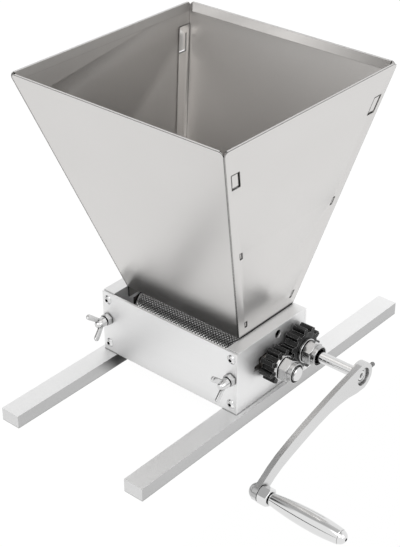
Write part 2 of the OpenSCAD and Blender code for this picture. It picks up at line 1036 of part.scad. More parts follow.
// Area between two heights, set in from both side corner lines
module width_span(inset, low, high) {
    polygon([
        [inset - side_x(low), low],
        [side_x(low) - inset, low],
        [side_x(high) - inset, high],
        [inset - side_x(high), high]
    ]);
}

// Area along the front corner line, between two distances behind it
module front_lean(near, far, low, high) {
    polygon([
        [front_y(low) + near, low],
        [front_y(high) + near, high],
        [front_y(high) + far, high],
        [front_y(low) + far, low]
    ]);
}

module back_lean(near, far, low, high) {
    polygon([
        [back_y(low) - near, low],
        [back_y(high) - near, high],
        [back_y(high) - far, high],
        [back_y(low) - far, low]
    ]);
}

// Points round a panel's top corner, from its slanted edge to its top edge
function rim_corner(edge, slope) = [
    for (step = [0 : corner_steps])
        let (turn = (90 + atan(slope)) * step / corner_steps - atan(slope))
            [
                edge - rim_round * (sqrt(1 + slope * slope) + slope - cos(turn)),
                rim_height - rim_round * (1 - sin(turn))
            ]
];
function mirrored(points) = [
    for (i = [len(points) - 1 : -1 : 0])
        [-points[i][0], points[i][1]]
];

// Full outline of a side panel, as depth and height, with rounded top corners
module side_panel_outline() {
    polygon(concat(
        [[front_foot_y, hopper_foot_z], [back_foot_y, hopper_foot_z]],
        rim_corner(back_y(rim_height), back_slope),
        mirrored(rim_corner(-front_y(rim_height), front_slope))
    ));
}

// Full outline of the front and back panels, as width and height
module end_panel_outline() {
    polygon(concat(
        [[-panel_half_foot, hopper_foot_z], [panel_half_foot, hopper_foot_z]],
        rim_corner(panel_half_rim, side_slope),
        mirrored(rim_corner(panel_half_rim, side_slope))
    ));
}

// Slots of a side panel along one corner line
module slot_rows(back) {
    for (slot = [
        [slot_low_share * hopper_height, slot_width, slot_height],
        [slot_mid_share * hopper_height, slot_width, slot_height],
        [hopper_height - flange_drop - slot_drop, hook_width, hook_height]
    ]) {
        low = hopper_foot_z + slot[0] - slot[2] / 2;
        high = hopper_foot_z + slot[0] + slot[2] / 2;
        near = slot_inset - slot[1] / 2;
        far = slot_inset + slot[1] / 2;
        if (back) {
            back_lean(near, far, low, high);
        } else {
            front_lean(near, far, low, high);
        }
    }
}

// Tabs that stand in those slots, with a narrow gap on two sides and a wide one on the others
module tab_rows(back, narrow_gap) {
    for (slot = [
        [slot_low_share * hopper_height, slot_width, slot_height, tab_gap],
        [slot_mid_share * hopper_height, slot_width, slot_height, tab_gap],
        [hopper_height - flange_drop - slot_drop, hook_width, hook_height, hook_gap]
    ]) {
        low = hopper_foot_z + slot[0] - slot[2] / 2 + slot[3];
        high = hopper_foot_z + slot[0] + slot[2] / 2 - narrow_gap;
        near = slot_inset - slot[1] / 2;
        far = slot_inset + slot[1] / 2;
        if (back) {
            back_lean(near + slot[3], far - narrow_gap, low, high);
        } else {
            front_lean(near + narrow_gap, far - slot[3], low, high);
        }
    }
}

// Flange area, open where a tab leaves its slot free
module flange_area(back) {
    difference() {
        if (back) {
            back_lean(0, flange_width, hopper_foot_z, flange_top_z);
        } else {
            front_lean(0, flange_width, hopper_foot_z, flange_top_z);
        }
        difference() {
            slot_rows(back);
            tab_rows(back, 0);
        }
    }
}

module side_panel() {
    front_end = front_y(rim_height);
    back_end = back_y(rim_height);
    difference() {
        intersection() {
            along_y(front_end, back_end)
                side_strip(0, hopper_foot_z, rim_height);
            across_x(0, rim_width)
                side_panel_outline();
        }
        across_x(0, rim_width) {
            slot_rows(false);
            slot_rows(true);
        }
    }
    intersection() {
        along_y(front_end, back_end) {
            side_strip(side_t + lap_gap, hem_z, rim_height);
            side_strip(side_t / 2, rim_bend_z, rim_height);
        }
        across_x(0, rim_width)
            depth_span(hem_end, hem_end, hem_z, rim_height);
    }
    difference() {
        translate([
            throat_half - side_t,
            front_foot_y + foot_tab_inset,
            hopper_foot_z - foot_tab
        ])
            cube([side_t, throat_depth - 2 * foot_tab_inset, foot_tab]);
        translate([0, hopper_screw_y, housing_top - hopper_screw_drop])
            rod_x(0, plate_outer_x, hopper_screw_d + 2 * screw_gap);
    }
}

module hopper_left_panel() {
    color(sheet_color)
        translate(to_origin)
            mirror([1, 0, 0])
                side_panel();
}

module hopper_right_panel() {
    color(sheet_color)
        translate(to_origin)
            side_panel();
}

// Both flanges of the front or back panel, cut to the given outline
module end_flanges() {
    for (turn = [0, 1]) {
        mirror([turn, 0, 0])
            intersection() {
                along_y(front_y(rim_height), back_y(rim_height))
                    side_strip(side_lap, hopper_foot_z, flange_top_z);
                across_x(0, rim_width)
                    children();
            }
    }
}

// Tabs from the flanges out through the slots
module end_tabs() {
    for (turn = [0, 1]) {
        mirror([turn, 0, 0])
            intersection() {
                along_y(front_y(rim_height), back_y(rim_height)) {
                    side_strip(0, hopper_foot_z, flange_top_z);
                    side_strip(side_lap - side_t / 2, hopper_foot_z, flange_top_z);
                }
                across_x(0, rim_width)
                    children();
            }
    }
}

module hopper_front_panel() {
    flap_half = panel_half_foot - free_gap;
    flap_t = 2 * sheet_t;
    color(sheet_color)
        translate(to_origin) {
            intersection() {
                across_x(-rim_width, rim_width)
                    front_strip(0, hopper_foot_z, rim_height);
                along_y(front_y(rim_height), 0)
                    end_panel_outline();
            }
            intersection() {
                across_x(-rim_width, rim_width) {
                    front_strip(front_t + lap_gap, hem_z, rim_height);
                    front_strip(front_t / 2, rim_bend_z, rim_height);
                }
                along_y(front_y(rim_height), 0)
                    width_span(side_lap + hem_end, hem_z, rim_height);
            }
            end_flanges()
                flange_area(false);
            end_tabs()
                tab_rows(false, free_gap);
            across_x(-flap_half, flap_half)
                polygon([
                    [front_foot_y, hopper_foot_z],
                    [front_foot_y + front_flap_reach, hopper_foot_z - flap_height],
                    [front_foot_y + front_flap_reach, hopper_foot_z - flap_height + flap_t],
                    [front_foot_y, hopper_foot_z + flap_t]
                ]);
        }
}

module hopper_back_panel() {
    flap_half = panel_half_foot - free_gap;
    flap_t = 2 * sheet_t;
    color(sheet_color)
        translate(to_origin) {
            intersection() {
                across_x(-rim_width, rim_width)
                    back_strip(0, hopper_foot_z, rim_height);
                along_y(0, back_y(rim_height))
                    end_panel_outline();
            }
            intersection() {
                across_x(-rim_width, rim_width) {
                    back_strip(back_t + lap_gap, hem_z, rim_height);
                    back_strip(back_t / 2, rim_bend_z, rim_height);
                }
                along_y(0, back_y(rim_height))
                    width_span(side_lap + hem_end, hem_z, rim_height);
            }
            end_flanges()
                flange_area(true);
            end_tabs()
                tab_rows(true, free_gap);
            across_x(-flap_half, flap_half)
                polygon([
                    [back_foot_y, hopper_foot_z],
                    [back_foot_y - back_flap_reach, hopper_foot_z - flap_height],
                    [back_foot_y - back_flap_reach, hopper_foot_z - flap_height + flap_t],
                    [back_foot_y, hopper_foot_z + flap_t]
                ]);
        }
}

module hopper_screws() {
    head_x = plate_outer_x - hopper_head_sink;
    color(bright_color)
        translate(to_origin)
            for (turn = [0, 1]) {
                mirror([turn, 0, 0])
                    translate([0, hopper_screw_y, housing_top - hopper_screw_drop])
                        difference() {
                            union() {
                                rod_x(head_x - hopper_head_t, head_x, hopper_head_d);
                                rod_x(
                                    throat_half - sheet_t - hopper_screw_tip,
                                    head_x,
                                    hopper_screw_d
                                );
                            }
                            hex_x(
                                head_x - hopper_head_t / 2,
                                head_x + cut_past,
                                hopper_head_d / 2
                            );
                        }
            }
}

module arm_outline() {
    circle(d = hub_d);
    translate([crank_length, 0])
        circle(d = arm_end_d);
    polygon([
        for (point = arm_outline_shares) [crank_length * point[0], crank_length * point[1]],
        for (i = [len(arm_outline_shares) - 1 : -1 : 0])
            crank_length * [arm_outline_shares[i][0], arm_outline_shares[i][2]]
    ]);
}

module crank_arm() {
    bore_d = crank_shaft_d + 2 * fit_gap;
    color(arm_color)
        translate(to_origin)
            at_drive_axis()
                difference() {
                    union() {
                        across_x(arm_x, hub_face_x)
                            rotate([0, 0, crank_droop])
                                mirror([1, 0])
                                    arm_outline();
                        rod_x(hub_x, hub_face_x, hub_d);
                    }
                    difference() {
                        rod_x(hub_x - cut_past, hub_face_x + cut_past, bore_d);
                        translate([
                            hub_x - cut_past,
                            bore_d / 2 - crank_flat_depth,
                            -bore_d / 2
                        ])
                            cube([hub_length + 2 * cut_past, crank_flat_depth, bore_d]);
                    }
                    rod_x(crank_shaft_x, hub_face_x + cut_past, hub_recess_d);
                    translate([set_screw_x, 0, 0])
                        rod_y(0, hub_d, set_screw_d + 2 * screw_gap);
                    rotate([crank_droop, 0, 0])
                        translate([0, -crank_length, 0])
                            rod_x(arm_x - cut_past, hub_face_x + cut_past, spindle_d + 2 * fit_gap);
                }
}

module crank_set_screw() {
    seat_y = crank_shaft_d / 2 - crank_flat_depth;
    end_y = hub_d / 2 + set_screw_proud;
    color(bright_color)
        translate(to_origin)
            at_drive_axis()
                translate([set_screw_x, 0, 0])
                    difference() {
                        rod_y(seat_y, end_y, set_screw_d);
                        hex_y(end_y - set_socket_depth, end_y + cut_past, set_socket_af);
                    }
}

module handle_spindle() {
    color(bright_color)
        translate(to_origin)
            at_handle_axis() {
                rod_x(arm_x - cap_nut_t / 2, head_x, spindle_d);
                translate([head_x, 0, 0])
                    rotate([0, 90, 0])
                        dome_head(spindle_head_d, spindle_head_t, cover_socket_af, cover_socket_depth);
            }
}

module handle_nut() {
    color(bright_color)
        translate(to_origin)
            at_handle_axis()
                difference() {
                    hex_x(hub_face_x, handle_nut_x, handle_nut_af);
                    rod_x(hub_face_x - cut_past, handle_nut_x + cut_past, spindle_d + 2 * fit_gap);
                }
}

module handle_cap_nut() {
    color(bright_color)
        translate(to_origin)
            at_handle_axis()
                difference() {
                    translate([arm_x, 0, 0])
                        rotate([0, -90, 0])
                            dome_head(cap_nut_d, cap_nut_t, cover_socket_af, cover_socket_depth);
                    rod_x(arm_x - cap_nut_t / 2, arm_x + cut_past, spindle_d + 2 * fit_gap);
                }
}

// Profile of the grip between two stations, bulging from an end diameter to the belly
module grip_half(length, end_d) {
    drop = (grip_belly_d - end_d) / 2;
    bulge_r = (length * length + drop * drop) / (2 * drop);
    intersection() {
        square([grip_belly_d, length]);
        translate([grip_belly_d / 2 - bulge_r, 0])
            circle(r = bulge_r, $fn = 360);
    }
}

module handle_grip() {
    neck_length = grip_length * grip_belly_share;
    color(bright_color)
        translate(to_origin)
            at_handle_axis()
                difference() {
                    translate([grip_x, 0, 0])
                        rotate([0, 90, 0])
                            rotate_extrude()
                                translate([0, neck_length]) {
                                    mirror([0, 1])
                                        grip_half(neck_length, grip_neck_d);
                                    grip_half(grip_length - neck_length, grip_end_d);
                                }
                    rod_x(grip_x - cut_past, grip_end_x + cut_past, spindle_d + 2 * fit_gap);
                }
}

left_foot_bar();
right_foot_bar();
foot_screws();
left_side_plate();
right_side_plate();
front_plate();
back_plate();
front_plate_screws();
back_plate_screws();
drive_roller();
driven_roller();
left_drive_bush();
right_drive_bush();
left_bearing_block();
right_bearing_block();
drive_gear();
driven_gear();
drive_gear_washer();
driven_gear_washer();
drive_gear_nut();
driven_gear_nut();
drive_nut_ring();
driven_nut_ring();
left_wing_screw();
right_wing_screw();
left_lock_nut();
right_lock_nut();
hopper_front_panel();
hopper_back_panel();
hopper_left_panel();
hopper_right_panel();
hopper_screws();
crank_arm();
crank_set_screw();
handle_spindle();
handle_nut();
handle_cap_nut();
handle_grip();
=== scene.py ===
"""Grain roller mill: fine detail, materials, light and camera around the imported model."""

import json
import math

import bmesh
import bpy
from mathutils import Matrix, Vector


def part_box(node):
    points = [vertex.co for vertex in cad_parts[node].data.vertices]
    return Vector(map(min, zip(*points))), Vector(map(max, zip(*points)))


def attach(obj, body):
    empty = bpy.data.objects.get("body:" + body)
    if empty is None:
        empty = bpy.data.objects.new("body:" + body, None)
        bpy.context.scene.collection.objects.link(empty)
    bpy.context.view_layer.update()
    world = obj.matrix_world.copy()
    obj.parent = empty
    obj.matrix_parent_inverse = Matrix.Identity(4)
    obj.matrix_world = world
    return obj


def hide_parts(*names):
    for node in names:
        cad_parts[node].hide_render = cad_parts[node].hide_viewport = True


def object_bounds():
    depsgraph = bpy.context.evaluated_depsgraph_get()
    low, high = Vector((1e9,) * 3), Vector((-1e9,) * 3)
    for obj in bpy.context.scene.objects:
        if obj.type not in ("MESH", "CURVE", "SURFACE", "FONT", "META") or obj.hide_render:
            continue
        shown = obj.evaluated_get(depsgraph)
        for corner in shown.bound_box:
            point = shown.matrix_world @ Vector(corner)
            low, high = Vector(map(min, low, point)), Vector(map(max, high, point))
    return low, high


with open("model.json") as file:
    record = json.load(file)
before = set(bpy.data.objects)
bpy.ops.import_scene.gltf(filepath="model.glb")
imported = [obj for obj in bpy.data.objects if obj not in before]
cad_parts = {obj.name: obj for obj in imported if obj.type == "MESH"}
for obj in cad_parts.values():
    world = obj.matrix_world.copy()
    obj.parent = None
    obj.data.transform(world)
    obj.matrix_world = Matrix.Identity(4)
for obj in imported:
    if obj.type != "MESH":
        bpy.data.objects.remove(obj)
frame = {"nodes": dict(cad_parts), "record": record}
cad_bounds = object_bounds()

MM = 0.001


# Places read from the frame


def low_high(node):
    low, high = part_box(node)
    return Vector(low), Vector(high)


def middle(node):
    low, high = low_high(node)
    return (low + high) / 2


drive_axis = middle("drive_gear_washer")
handle_axis = middle("handle_spindle")


# Materials


# The range that a noise texture seldom leaves
noise_low, noise_high = 0.3, 0.7
cloud_grain = (7.0, 7.0, 7.0)
fine_detail, cloud_detail = 3.0, 2.0
cloud_dark_at, cloud_light_at = 0.35, 0.65
bump_strength = 0.4
# How alike the face's direction and the rounded one are, at an edge's rim and at its middle
edge_rim, edge_middle = 0.99, 0.88
edge_samples = 6
# Painted shade in gaps and corners: its samples, and its darkest tone as a share of the metal's
# level
gap_shade_samples = 12
gap_shade_share = 0.04
polish_share, polish_strength = 0.25, 0.35


class Shader:
    """A node material whose colour, roughness and bump come from procedural textures."""

    def __init__(self, name, metallic, roughness, **fixed):
        self.material = bpy.data.materials.new(name)
        self.material.use_nodes = True
        self.nodes = self.material.node_tree.nodes
        self.links = self.material.node_tree.links
        self.bsdf = self.nodes["Principled BSDF"]
        self.bsdf.inputs["Metallic"].default_value = metallic
        self.bsdf.inputs["Roughness"].default_value = roughness
        for socket, value in fixed.items():
            self.bsdf.inputs[socket.replace("_", " ")].default_value = value
        self.place = self.nodes.new("ShaderNodeTexCoord").outputs["Object"]

    def noise(self, grain, detail):
        """Noise of as many cells per metre as the grain says, along X, Y and Z."""
        mapping = self.nodes.new("ShaderNodeMapping")
        mapping.inputs["Scale"].default_value = grain
        texture = self.nodes.new("ShaderNodeTexNoise")
        texture.inputs["Scale"].default_value = 1.0
        texture.inputs["Detail"].default_value = detail
        self.links.new(self.place, mapping.inputs["Vector"])
        self.links.new(mapping.outputs["Vector"], texture.inputs["Vector"])
        return texture.outputs["Fac"]

    def ramp(self, value, stops):
        """Colour ramp through (position, colour) stops."""
        node = self.nodes.new("ShaderNodeValToRGB")
        for element, (position, colour) in zip(node.color_ramp.elements, stops):
            element.position = position
            element.color = (*colour, 1.0)
        self.links.new(value, node.inputs["Fac"])
        return node.outputs["Color"]

    def span(self, value, low, high):
        """Maps the usual range of a noise to the range from low to high."""
        node = self.nodes.new("ShaderNodeMapRange")
        node.inputs["From Min"].default_value = noise_low
        node.inputs["From Max"].default_value = noise_high
        node.inputs["To Min"].default_value = low
        node.inputs["To Max"].default_value = high
        self.links.new(value, node.inputs["Value"])
        return node.outputs["Result"]

    def edge_wear_and_light(self, colour, tone, amount, width):
        """Gives edges a tone of their own, over the width of a rounding. The default is polish
        from handling; the gears' light edges are painted highlight and the hopper's dark edges
        painted shade.
        """
        geometry = self.nodes.new("ShaderNodeNewGeometry")
        rounded = self.nodes.new("ShaderNodeBevel")
        rounded.samples = edge_samples
        rounded.inputs["Radius"].default_value = width
        turn = self.nodes.new("ShaderNodeVectorMath")
        turn.operation = "DOT_PRODUCT"
        mask = self.nodes.new("ShaderNodeMapRange")
        mask.inputs["From Min"].default_value = edge_rim
        mask.inputs["From Max"].default_value = edge_middle
        mask.inputs["To Max"].default_value = amount
        mix = self.nodes.new("ShaderNodeMix")
        mix.data_type = "RGBA"
        mix.inputs["B"].default_value = (*tone, 1.0)
        self.links.new(geometry.outputs["True Normal"], turn.inputs[0])
        self.links.new(rounded.outputs["Normal"], turn.inputs[1])
        self.links.new(turn.outputs["Value"], mask.inputs["Value"])
        self.links.new(mask.outputs["Result"], mix.inputs["Factor"])
        self.links.new(colour, mix.inputs["A"])
        return mix.outputs["Result"]

    def shade_gaps(self, colour, dark, reach, shut, open_share):
        """Paints shade into narrow gaps and inner corners, where little open air reaches.

        The dark tone is full where the share of open air is shut, and gone at the open share.
        """
        open_air = self.nodes.new("ShaderNodeAmbientOcclusion")
        open_air.samples = gap_shade_samples
        open_air.inputs["Distance"].default_value = reach
        mask = self.nodes.new("ShaderNodeMapRange")
        mask.inputs["From Min"].default_value = shut
        mask.inputs["From Max"].default_value = open_share
        mix = self.nodes.new("ShaderNodeMix")
        mix.data_type = "RGBA"
        mix.inputs["A"].default_value = (*dark, 1.0)
        self.links.new(open_air.outputs["AO"], mask.inputs["Value"])
        self.links.new(mask.outputs["Result"], mix.inputs["Factor"])
        self.links.new(colour, mix.inputs["B"])
        return mix.outputs["Result"]

    def colour(self, value):
        self.links.new(value, self.bsdf.inputs["Base Color"])

    def roughness(self, value):
        self.links.new(value, self.bsdf.inputs["Roughness"])

    def bump(self, height, distance):
        node = self.nodes.new("ShaderNodeBump")
        node.inputs["Distance"].default_value = distance
        node.inputs["Strength"].default_value = bump_strength
        self.links.new(height, node.inputs["Height"])
        self.links.new(node.outputs["Normal"], self.bsdf.inputs["Normal"])


def grey(level, warm=0.0):
    return (level * (1 + warm), level, level * (1 - warm))


def worked_metal(
    name, level, spread, roughness, grain, bump_mm, warm=0.0, metallic=1.0,
    edges=None, edge_mm=0.5, soil=(3.0, 0.30, 0.72), **fixed
):
    """Metal of a grey level with a directional grain, in cells per metre along X, Y and Z.

    Its edges are polished by handling, unless edges gives their level and strength, which paint a
    highlight or shade along them.
    The gap shade is painted shade in narrow gaps and inner corners; it has its reach in mm and the
    shares of open air between which it fades.
    """
    shader = Shader(name, metallic, roughness[0], **fixed)
    fine = shader.noise(grain, fine_detail)
    cloud = shader.noise(cloud_grain, cloud_detail)
    tone = shader.ramp(cloud, [
        (cloud_dark_at, grey(level * (1 - spread), warm)),
        (cloud_light_at, grey(level * (1 + spread), warm)),
    ])
    edge_level, edge_strength = edges or (level + (1 - level) * polish_share, polish_strength)
    edge_toned = shader.edge_wear_and_light(tone, grey(edge_level, warm), edge_strength, edge_mm * MM)
    # Painted shade: narrow gaps and inner corners darken towards a small share of the metal's
    # level
    reach_mm, shut, open_share = soil
    dark = grey(level * gap_shade_share, warm)
    shader.colour(shader.shade_gaps(edge_toned, dark, reach_mm * MM, shut, open_share))
    shader.roughness(shader.span(fine, *roughness))
    shader.bump(fine, bump_mm * MM)
    return shader.material


finishes = {
    "bar_aluminium": dict(
        level=0.87, spread=0.02, roughness=(0.50, 0.56), grain=(400.0, 30.0, 400.0),
        bump_mm=0.006,
    ),
    # The bar's sides and ends are darker copies of its aluminium: painted shade
    "bar_side_shaded": dict(
        level=0.50, spread=0.03, roughness=(0.32, 0.38), grain=(400.0, 20.0, 400.0),
        bump_mm=0.006,
    ),
    "bar_end_shaded": dict(
        level=0.74, spread=0.02, roughness=(0.50, 0.56), grain=(400.0, 30.0, 400.0),
        bump_mm=0.006,
    ),
    "plate_aluminium": dict(
        level=0.84, spread=0.02, roughness=(0.46, 0.52), grain=(400.0, 40.0, 400.0),
        bump_mm=0.005, soil=(3.0, 0.20, 0.62),
    ),
    "cover_aluminium": dict(
        level=0.86, spread=0.01, roughness=(0.46, 0.52), grain=(30.0, 400.0, 400.0),
        bump_mm=0.005,
    ),
    "roller_steel": dict(
        level=0.92, spread=0.04, roughness=(0.16, 0.22), grain=(300.0, 300.0, 300.0),
        bump_mm=0.002, metallic=0.7, soil=(1.6, 0.74, 0.95),
    ),
    "shaft_steel": dict(
        level=0.72, spread=0.03, roughness=(0.05, 0.08), grain=(20.0, 300.0, 300.0),
        bump_mm=0.0001, soil=(4.0, 0.50, 0.97),
    ),
    "bronze": dict(
        level=0.12, spread=0.15, roughness=(0.40, 0.55), grain=(500.0, 500.0, 500.0),
        bump_mm=0.01, warm=0.08,
    ),
    # The gears' light tooth edges are a painted highlight
    "black_steel": dict(
        level=0.006, spread=0.25, roughness=(0.22, 0.34), grain=(600.0, 600.0, 600.0),
        bump_mm=0.02, metallic=0.0, edges=(0.50, 0.9), soil=(3.0, 0.05, 0.45),
        Specular_IOR_Level=0.25,
    ),
    "dark_nylon": dict(
        level=0.012, spread=0.15, roughness=(0.38, 0.52), grain=(500.0, 500.0, 500.0),
        bump_mm=0.02, metallic=0.0, Specular_IOR_Level=0.3,
    ),
    # The hopper's dark edges and seams, outside and inside, are painted shade
    "hopper_sheet": dict(
        level=0.66, spread=0.012, roughness=(0.30, 0.32), grain=(400.0, 400.0, 12.0),
        bump_mm=0.0005, warm=0.018, edges=(0.03, 1.0), edge_mm=1.2, soil=(3.0, 0.62, 0.95),
    ),
    "hopper_inside": dict(
        level=0.60, spread=0.02, roughness=(0.38, 0.42), grain=(400.0, 400.0, 12.0),
        bump_mm=0.001, warm=0.03, edges=(0.20, 0.5), soil=(1.5, 0.25, 0.70),
    ),
    # A darker copy of the inside's metal for the left panel, whose inside lies in shade: painted
    # shade
    "hopper_inside_shaded": dict(
        level=0.37, spread=0.02, roughness=(0.40, 0.44), grain=(400.0, 400.0, 12.0),
        bump_mm=0.001, warm=0.03, edges=(0.20, 0.5), soil=(1.5, 0.25, 0.70),
    ),
    "arm_metal": dict(
        level=0.66, spread=0.02, roughness=(0.20, 0.23), grain=(150.0, 150.0, 150.0),
        bump_mm=0.001, soil=(4.0, 0.45, 0.90),
    ),
    # A darker copy of the arm's metal for its upper edge: a painted dark reflection
    "arm_top_dark_reflection": dict(
        level=0.48, spread=0.04, roughness=(0.26, 0.32), grain=(150.0, 150.0, 150.0),
        bump_mm=0.001, soil=(4.0, 0.45, 0.90),
    ),
    "grip_chrome": dict(
        level=0.74, spread=0.02, roughness=(0.07, 0.10), grain=(200.0, 200.0, 200.0),
        bump_mm=0.001,
    ),
    "zinc_steel": dict(
        level=0.72, spread=0.04, roughness=(0.12, 0.20), grain=(300.0, 300.0, 300.0),
        bump_mm=0.002, soil=(2.0, 0.45, 0.90),
    ),
    "nut_steel": dict(
        level=0.48, spread=0.04, roughness=(0.16, 0.24), grain=(300.0, 300.0, 300.0),
        bump_mm=0.002, soil=(3.0, 0.50, 0.92),
    ),
    "set_screw_steel": dict(
        level=0.22, spread=0.05, roughness=(0.20, 0.30), grain=(300.0, 300.0, 300.0),
        bump_mm=0.002,
    ),
    "screw_steel": dict(
        level=0.72, spread=0.04, roughness=(0.10, 0.16), grain=(300.0, 300.0, 300.0),
        bump_mm=0.001, soil=(2.5, 0.66, 0.93),
    ),
    "wing_steel": dict(
        level=0.66, spread=0.03, roughness=(0.14, 0.20), grain=(300.0, 300.0, 300.0),
        bump_mm=0.002, soil=(2.5, 0.50, 0.92),
    ),
}
materials = {name: worked_metal(name, **finish) for name, finish in finishes.items()}

# What each node is made of, and the body that it rides on
node_slot = {entry["node"]: entry["material_slot"] for entry in frame["record"]["subparts"]}
node_body = {
    node: body
    for body, nodes in frame["record"]["behaviour"]["bodies"].items()
    for node in nodes
}
node_material = dict(node_slot)
node_material["front_plate"] = "cover_aluminium"
node_material["back_plate"] = "cover_aluminium"
node_material["crank_set_screw"] = "set_screw_steel"
for side in ("left", "right"):
    node_material[side + "_wing_screw"] = "wing_steel"
    node_material[side + "_lock_nut"] = "nut_steel"
for node in ("drive_gear_nut", "driven_gear_nut", "handle_cap_nut"):
    node_material[node] = "nut_steel"
for node in ("front_plate_screws", "back_plate_screws", "hopper_screws"):
    node_material[node] = "screw_steel"


# Mesh helpers


smooth_below = math.radians(30)
facet_above = math.radians(20)
replaced = set()


def finish_piece(piece, node, smooth_angle=smooth_below):
    """Gives a new piece its material, its body and the CAD node it stands for."""
    mesh = piece.data
    mesh.materials.clear()
    mesh.materials.append(materials[node_material[node]])
    mesh.shade_smooth()
    mesh.set_sharp_from_angle(angle=smooth_angle)
    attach(piece, node_body[node])
    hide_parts(node)
    replaced.add(node)
    return piece


def second_finish(piece, material, chosen):
    """Gives the faces that are chosen by a test a material of their own."""
    piece.data.materials.append(materials[material])
    place = len(piece.data.materials) - 1
    for face in piece.data.polygons:
        if chosen(face):
            face.material_index = place


def new_piece(name, mesh):
    piece = bpy.data.objects.new(name, mesh)
    bpy.context.scene.collection.objects.link(piece)
    return piece


def applied(piece):
    """Replaces a piece's mesh by the one its modifiers give."""
    bpy.context.view_layer.update()
    shown = piece.evaluated_get(bpy.context.evaluated_depsgraph_get())
    mesh = bpy.data.meshes.new_from_object(shown)
    piece.modifiers.clear()
    piece.data = mesh
    return piece


def mesh_from(points, faces, name):
    mesh = bpy.data.meshes.new(name)
    mesh.from_pydata(points, [], faces)
    mesh.validate()
    return mesh


def joined_mesh(skins, name):
    """One mesh of several skins, each given by its points and faces, with normals outward."""
    all_points, all_faces = [], []
    for points, faces in skins:
        base = len(all_points)
        all_points += points
        all_faces += [tuple(base + i for i in face) for face in faces]
    mesh = mesh_from(all_points, all_faces, name)
    work = bmesh.new()
    work.from_mesh(mesh)
    bmesh.ops.recalc_face_normals(work, faces=work.faces)
    work.to_mesh(mesh)
    work.free()
    return mesh


# Solids with rounded edges


same_place = 1e-6
flat_below = math.radians(0.6)
sharp_edge = math.radians(28)
bend_length = 150 * MM
bend_radius_mm = 0.8
rounding_segments = 2


def softened(node, radius_mm, is_folded):
    """The CAD solid again with its sharp edges rounded, standing in for it.

    A folded sheet's bends, its longest edges, have a radius of their own.
    """
    mesh = frame["nodes"][node].data.copy()
    work = bmesh.new()
    work.from_mesh(mesh)
    bmesh.ops.remove_doubles(work, verts=work.verts, dist=same_place)
    bmesh.ops.dissolve_limit(
        work, angle_limit=flat_below, verts=work.verts, edges=work.edges
    )
    bmesh.ops.recalc_face_normals(work, faces=work.faces)
    weight = work.edges.layers.float.new("bevel_weight_edge")
    widest_mm = max(radius_mm, bend_radius_mm) if is_folded else radius_mm
    for edge in work.edges:
        if len(edge.link_faces) != 2 or edge.calc_face_angle(0) < sharp_edge:
            continue
        is_bend = is_folded and edge.is_convex and edge.calc_length() > bend_length
        edge[weight] = (bend_radius_mm if is_bend else radius_mm) / widest_mm
    work.to_mesh(mesh)
    work.free()
    piece = new_piece(node + "_rounded", mesh)
    bevel = piece.modifiers.new("rounding", "BEVEL")
    bevel.width = widest_mm * MM
    bevel.segments = rounding_segments
    bevel.limit_method = "WEIGHT"
    bevel.use_clamp_overlap = True
    return finish_piece(applied(piece), node, facet_above)


softness_mm = {
    "left_foot_bar": 0.5,
    "right_foot_bar": 0.5,
    "left_side_plate": 0.4,
    "right_side_plate": 0.4,
    "front_plate": 0.35,
    "back_plate": 0.35,
    "crank_arm": 0.7,
    "hopper_front_panel": 0.22,
    "hopper_back_panel": 0.22,
    "hopper_left_panel": 0.22,
    "hopper_right_panel": 0.22,
    "left_bearing_block": 0.3,
    "right_bearing_block": 0.3,
    "drive_gear": 0.35,
    "driven_gear": 0.35,
    "drive_gear_washer": 0.3,
    "driven_gear_washer": 0.3,
}
folded_panels = ("hopper_front_panel", "hopper_back_panel")
hub_reach = 14 * MM
# Parts of a face's unit normal by which it is chosen
squarely, leaning, across = 0.9, 0.6, 0.5


def faces_inward(face):
    """The hopper's inside, which looks at the hopper's middle."""
    inward = face.center.x * face.normal.x + face.center.y * face.normal.y < 0
    return inward and abs(face.normal.z) < leaning


def faces_up(face):
    """The arm's upper edge, which gets a darker copy of the arm's metal: a painted dark
    reflection.
    """
    on_arm = (face.center.yz - drive_axis.yz).length > hub_reach
    return on_arm and abs(face.normal.x) < across and face.normal.z > 0


for node, radius_mm in softness_mm.items():
    piece = softened(node, radius_mm, node in folded_panels)
    if node.startswith("hopper"):
        # The left panel's inside gets a darker copy of the inside's metal: painted shade
        inside = "hopper_inside_shaded" if node == "hopper_left_panel" else "hopper_inside"
        second_finish(piece, inside, faces_inward)
    if node == "crank_arm":
        second_finish(piece, "arm_top_dark_reflection", faces_up)
    if node.endswith("foot_bar"):
        # Painted shade: darker copies of the bar's metal on its sides and ends
        second_finish(piece, "bar_side_shaded", lambda face: abs(face.normal.x) > squarely)
        second_finish(piece, "bar_end_shaded", lambda face: abs(face.normal.y) > squarely)


# Knurled rollers with their shafts


roller_r = 15.875 * MM
roller_half = 63.5 * MM
knurl_depth = 0.9 * MM
knurl_half_pitch = 1.6 * MM
bevel_width, bevel_depth = 1.2 * MM, 1.4 * MM
inner_ring_share = 1.02
knurl_facet = math.radians(22)

shaft_r = 6.35 * MM
shaft_around = 64
shaft_chamfer = 0.6 * MM
shaft_overlap = 0.2 * MM
gear_gap = 0.3 * MM
gear_flat = 5.5 * MM

nut_thread_pitch, nut_thread_depth = 1.6 * MM, 0.8 * MM
nut_thread_flank = 1.25
nut_thread_steps = 90
thread_taper = 1.4
thread_past_nut, thread_short_of_nut = 1.8 * MM, 2.6 * MM

crank_end_r, crank_end_flat = 4.8 * MM, 3.8 * MM
crank_end_chamfer = 0.5 * MM
crank_end_overlap = 0.4 * MM
crank_flat_step = 0.01 * MM
centre_hole_r, centre_pit_r = 2.4 * MM, 0.7 * MM
centre_cone_depth, centre_pit_depth = 2.5 * MM, 4 * MM

least_share = 1e-6


def point_at(axis, x, r, angle):
    return (x, axis.y + r * math.cos(angle), axis.z + r * math.sin(angle))


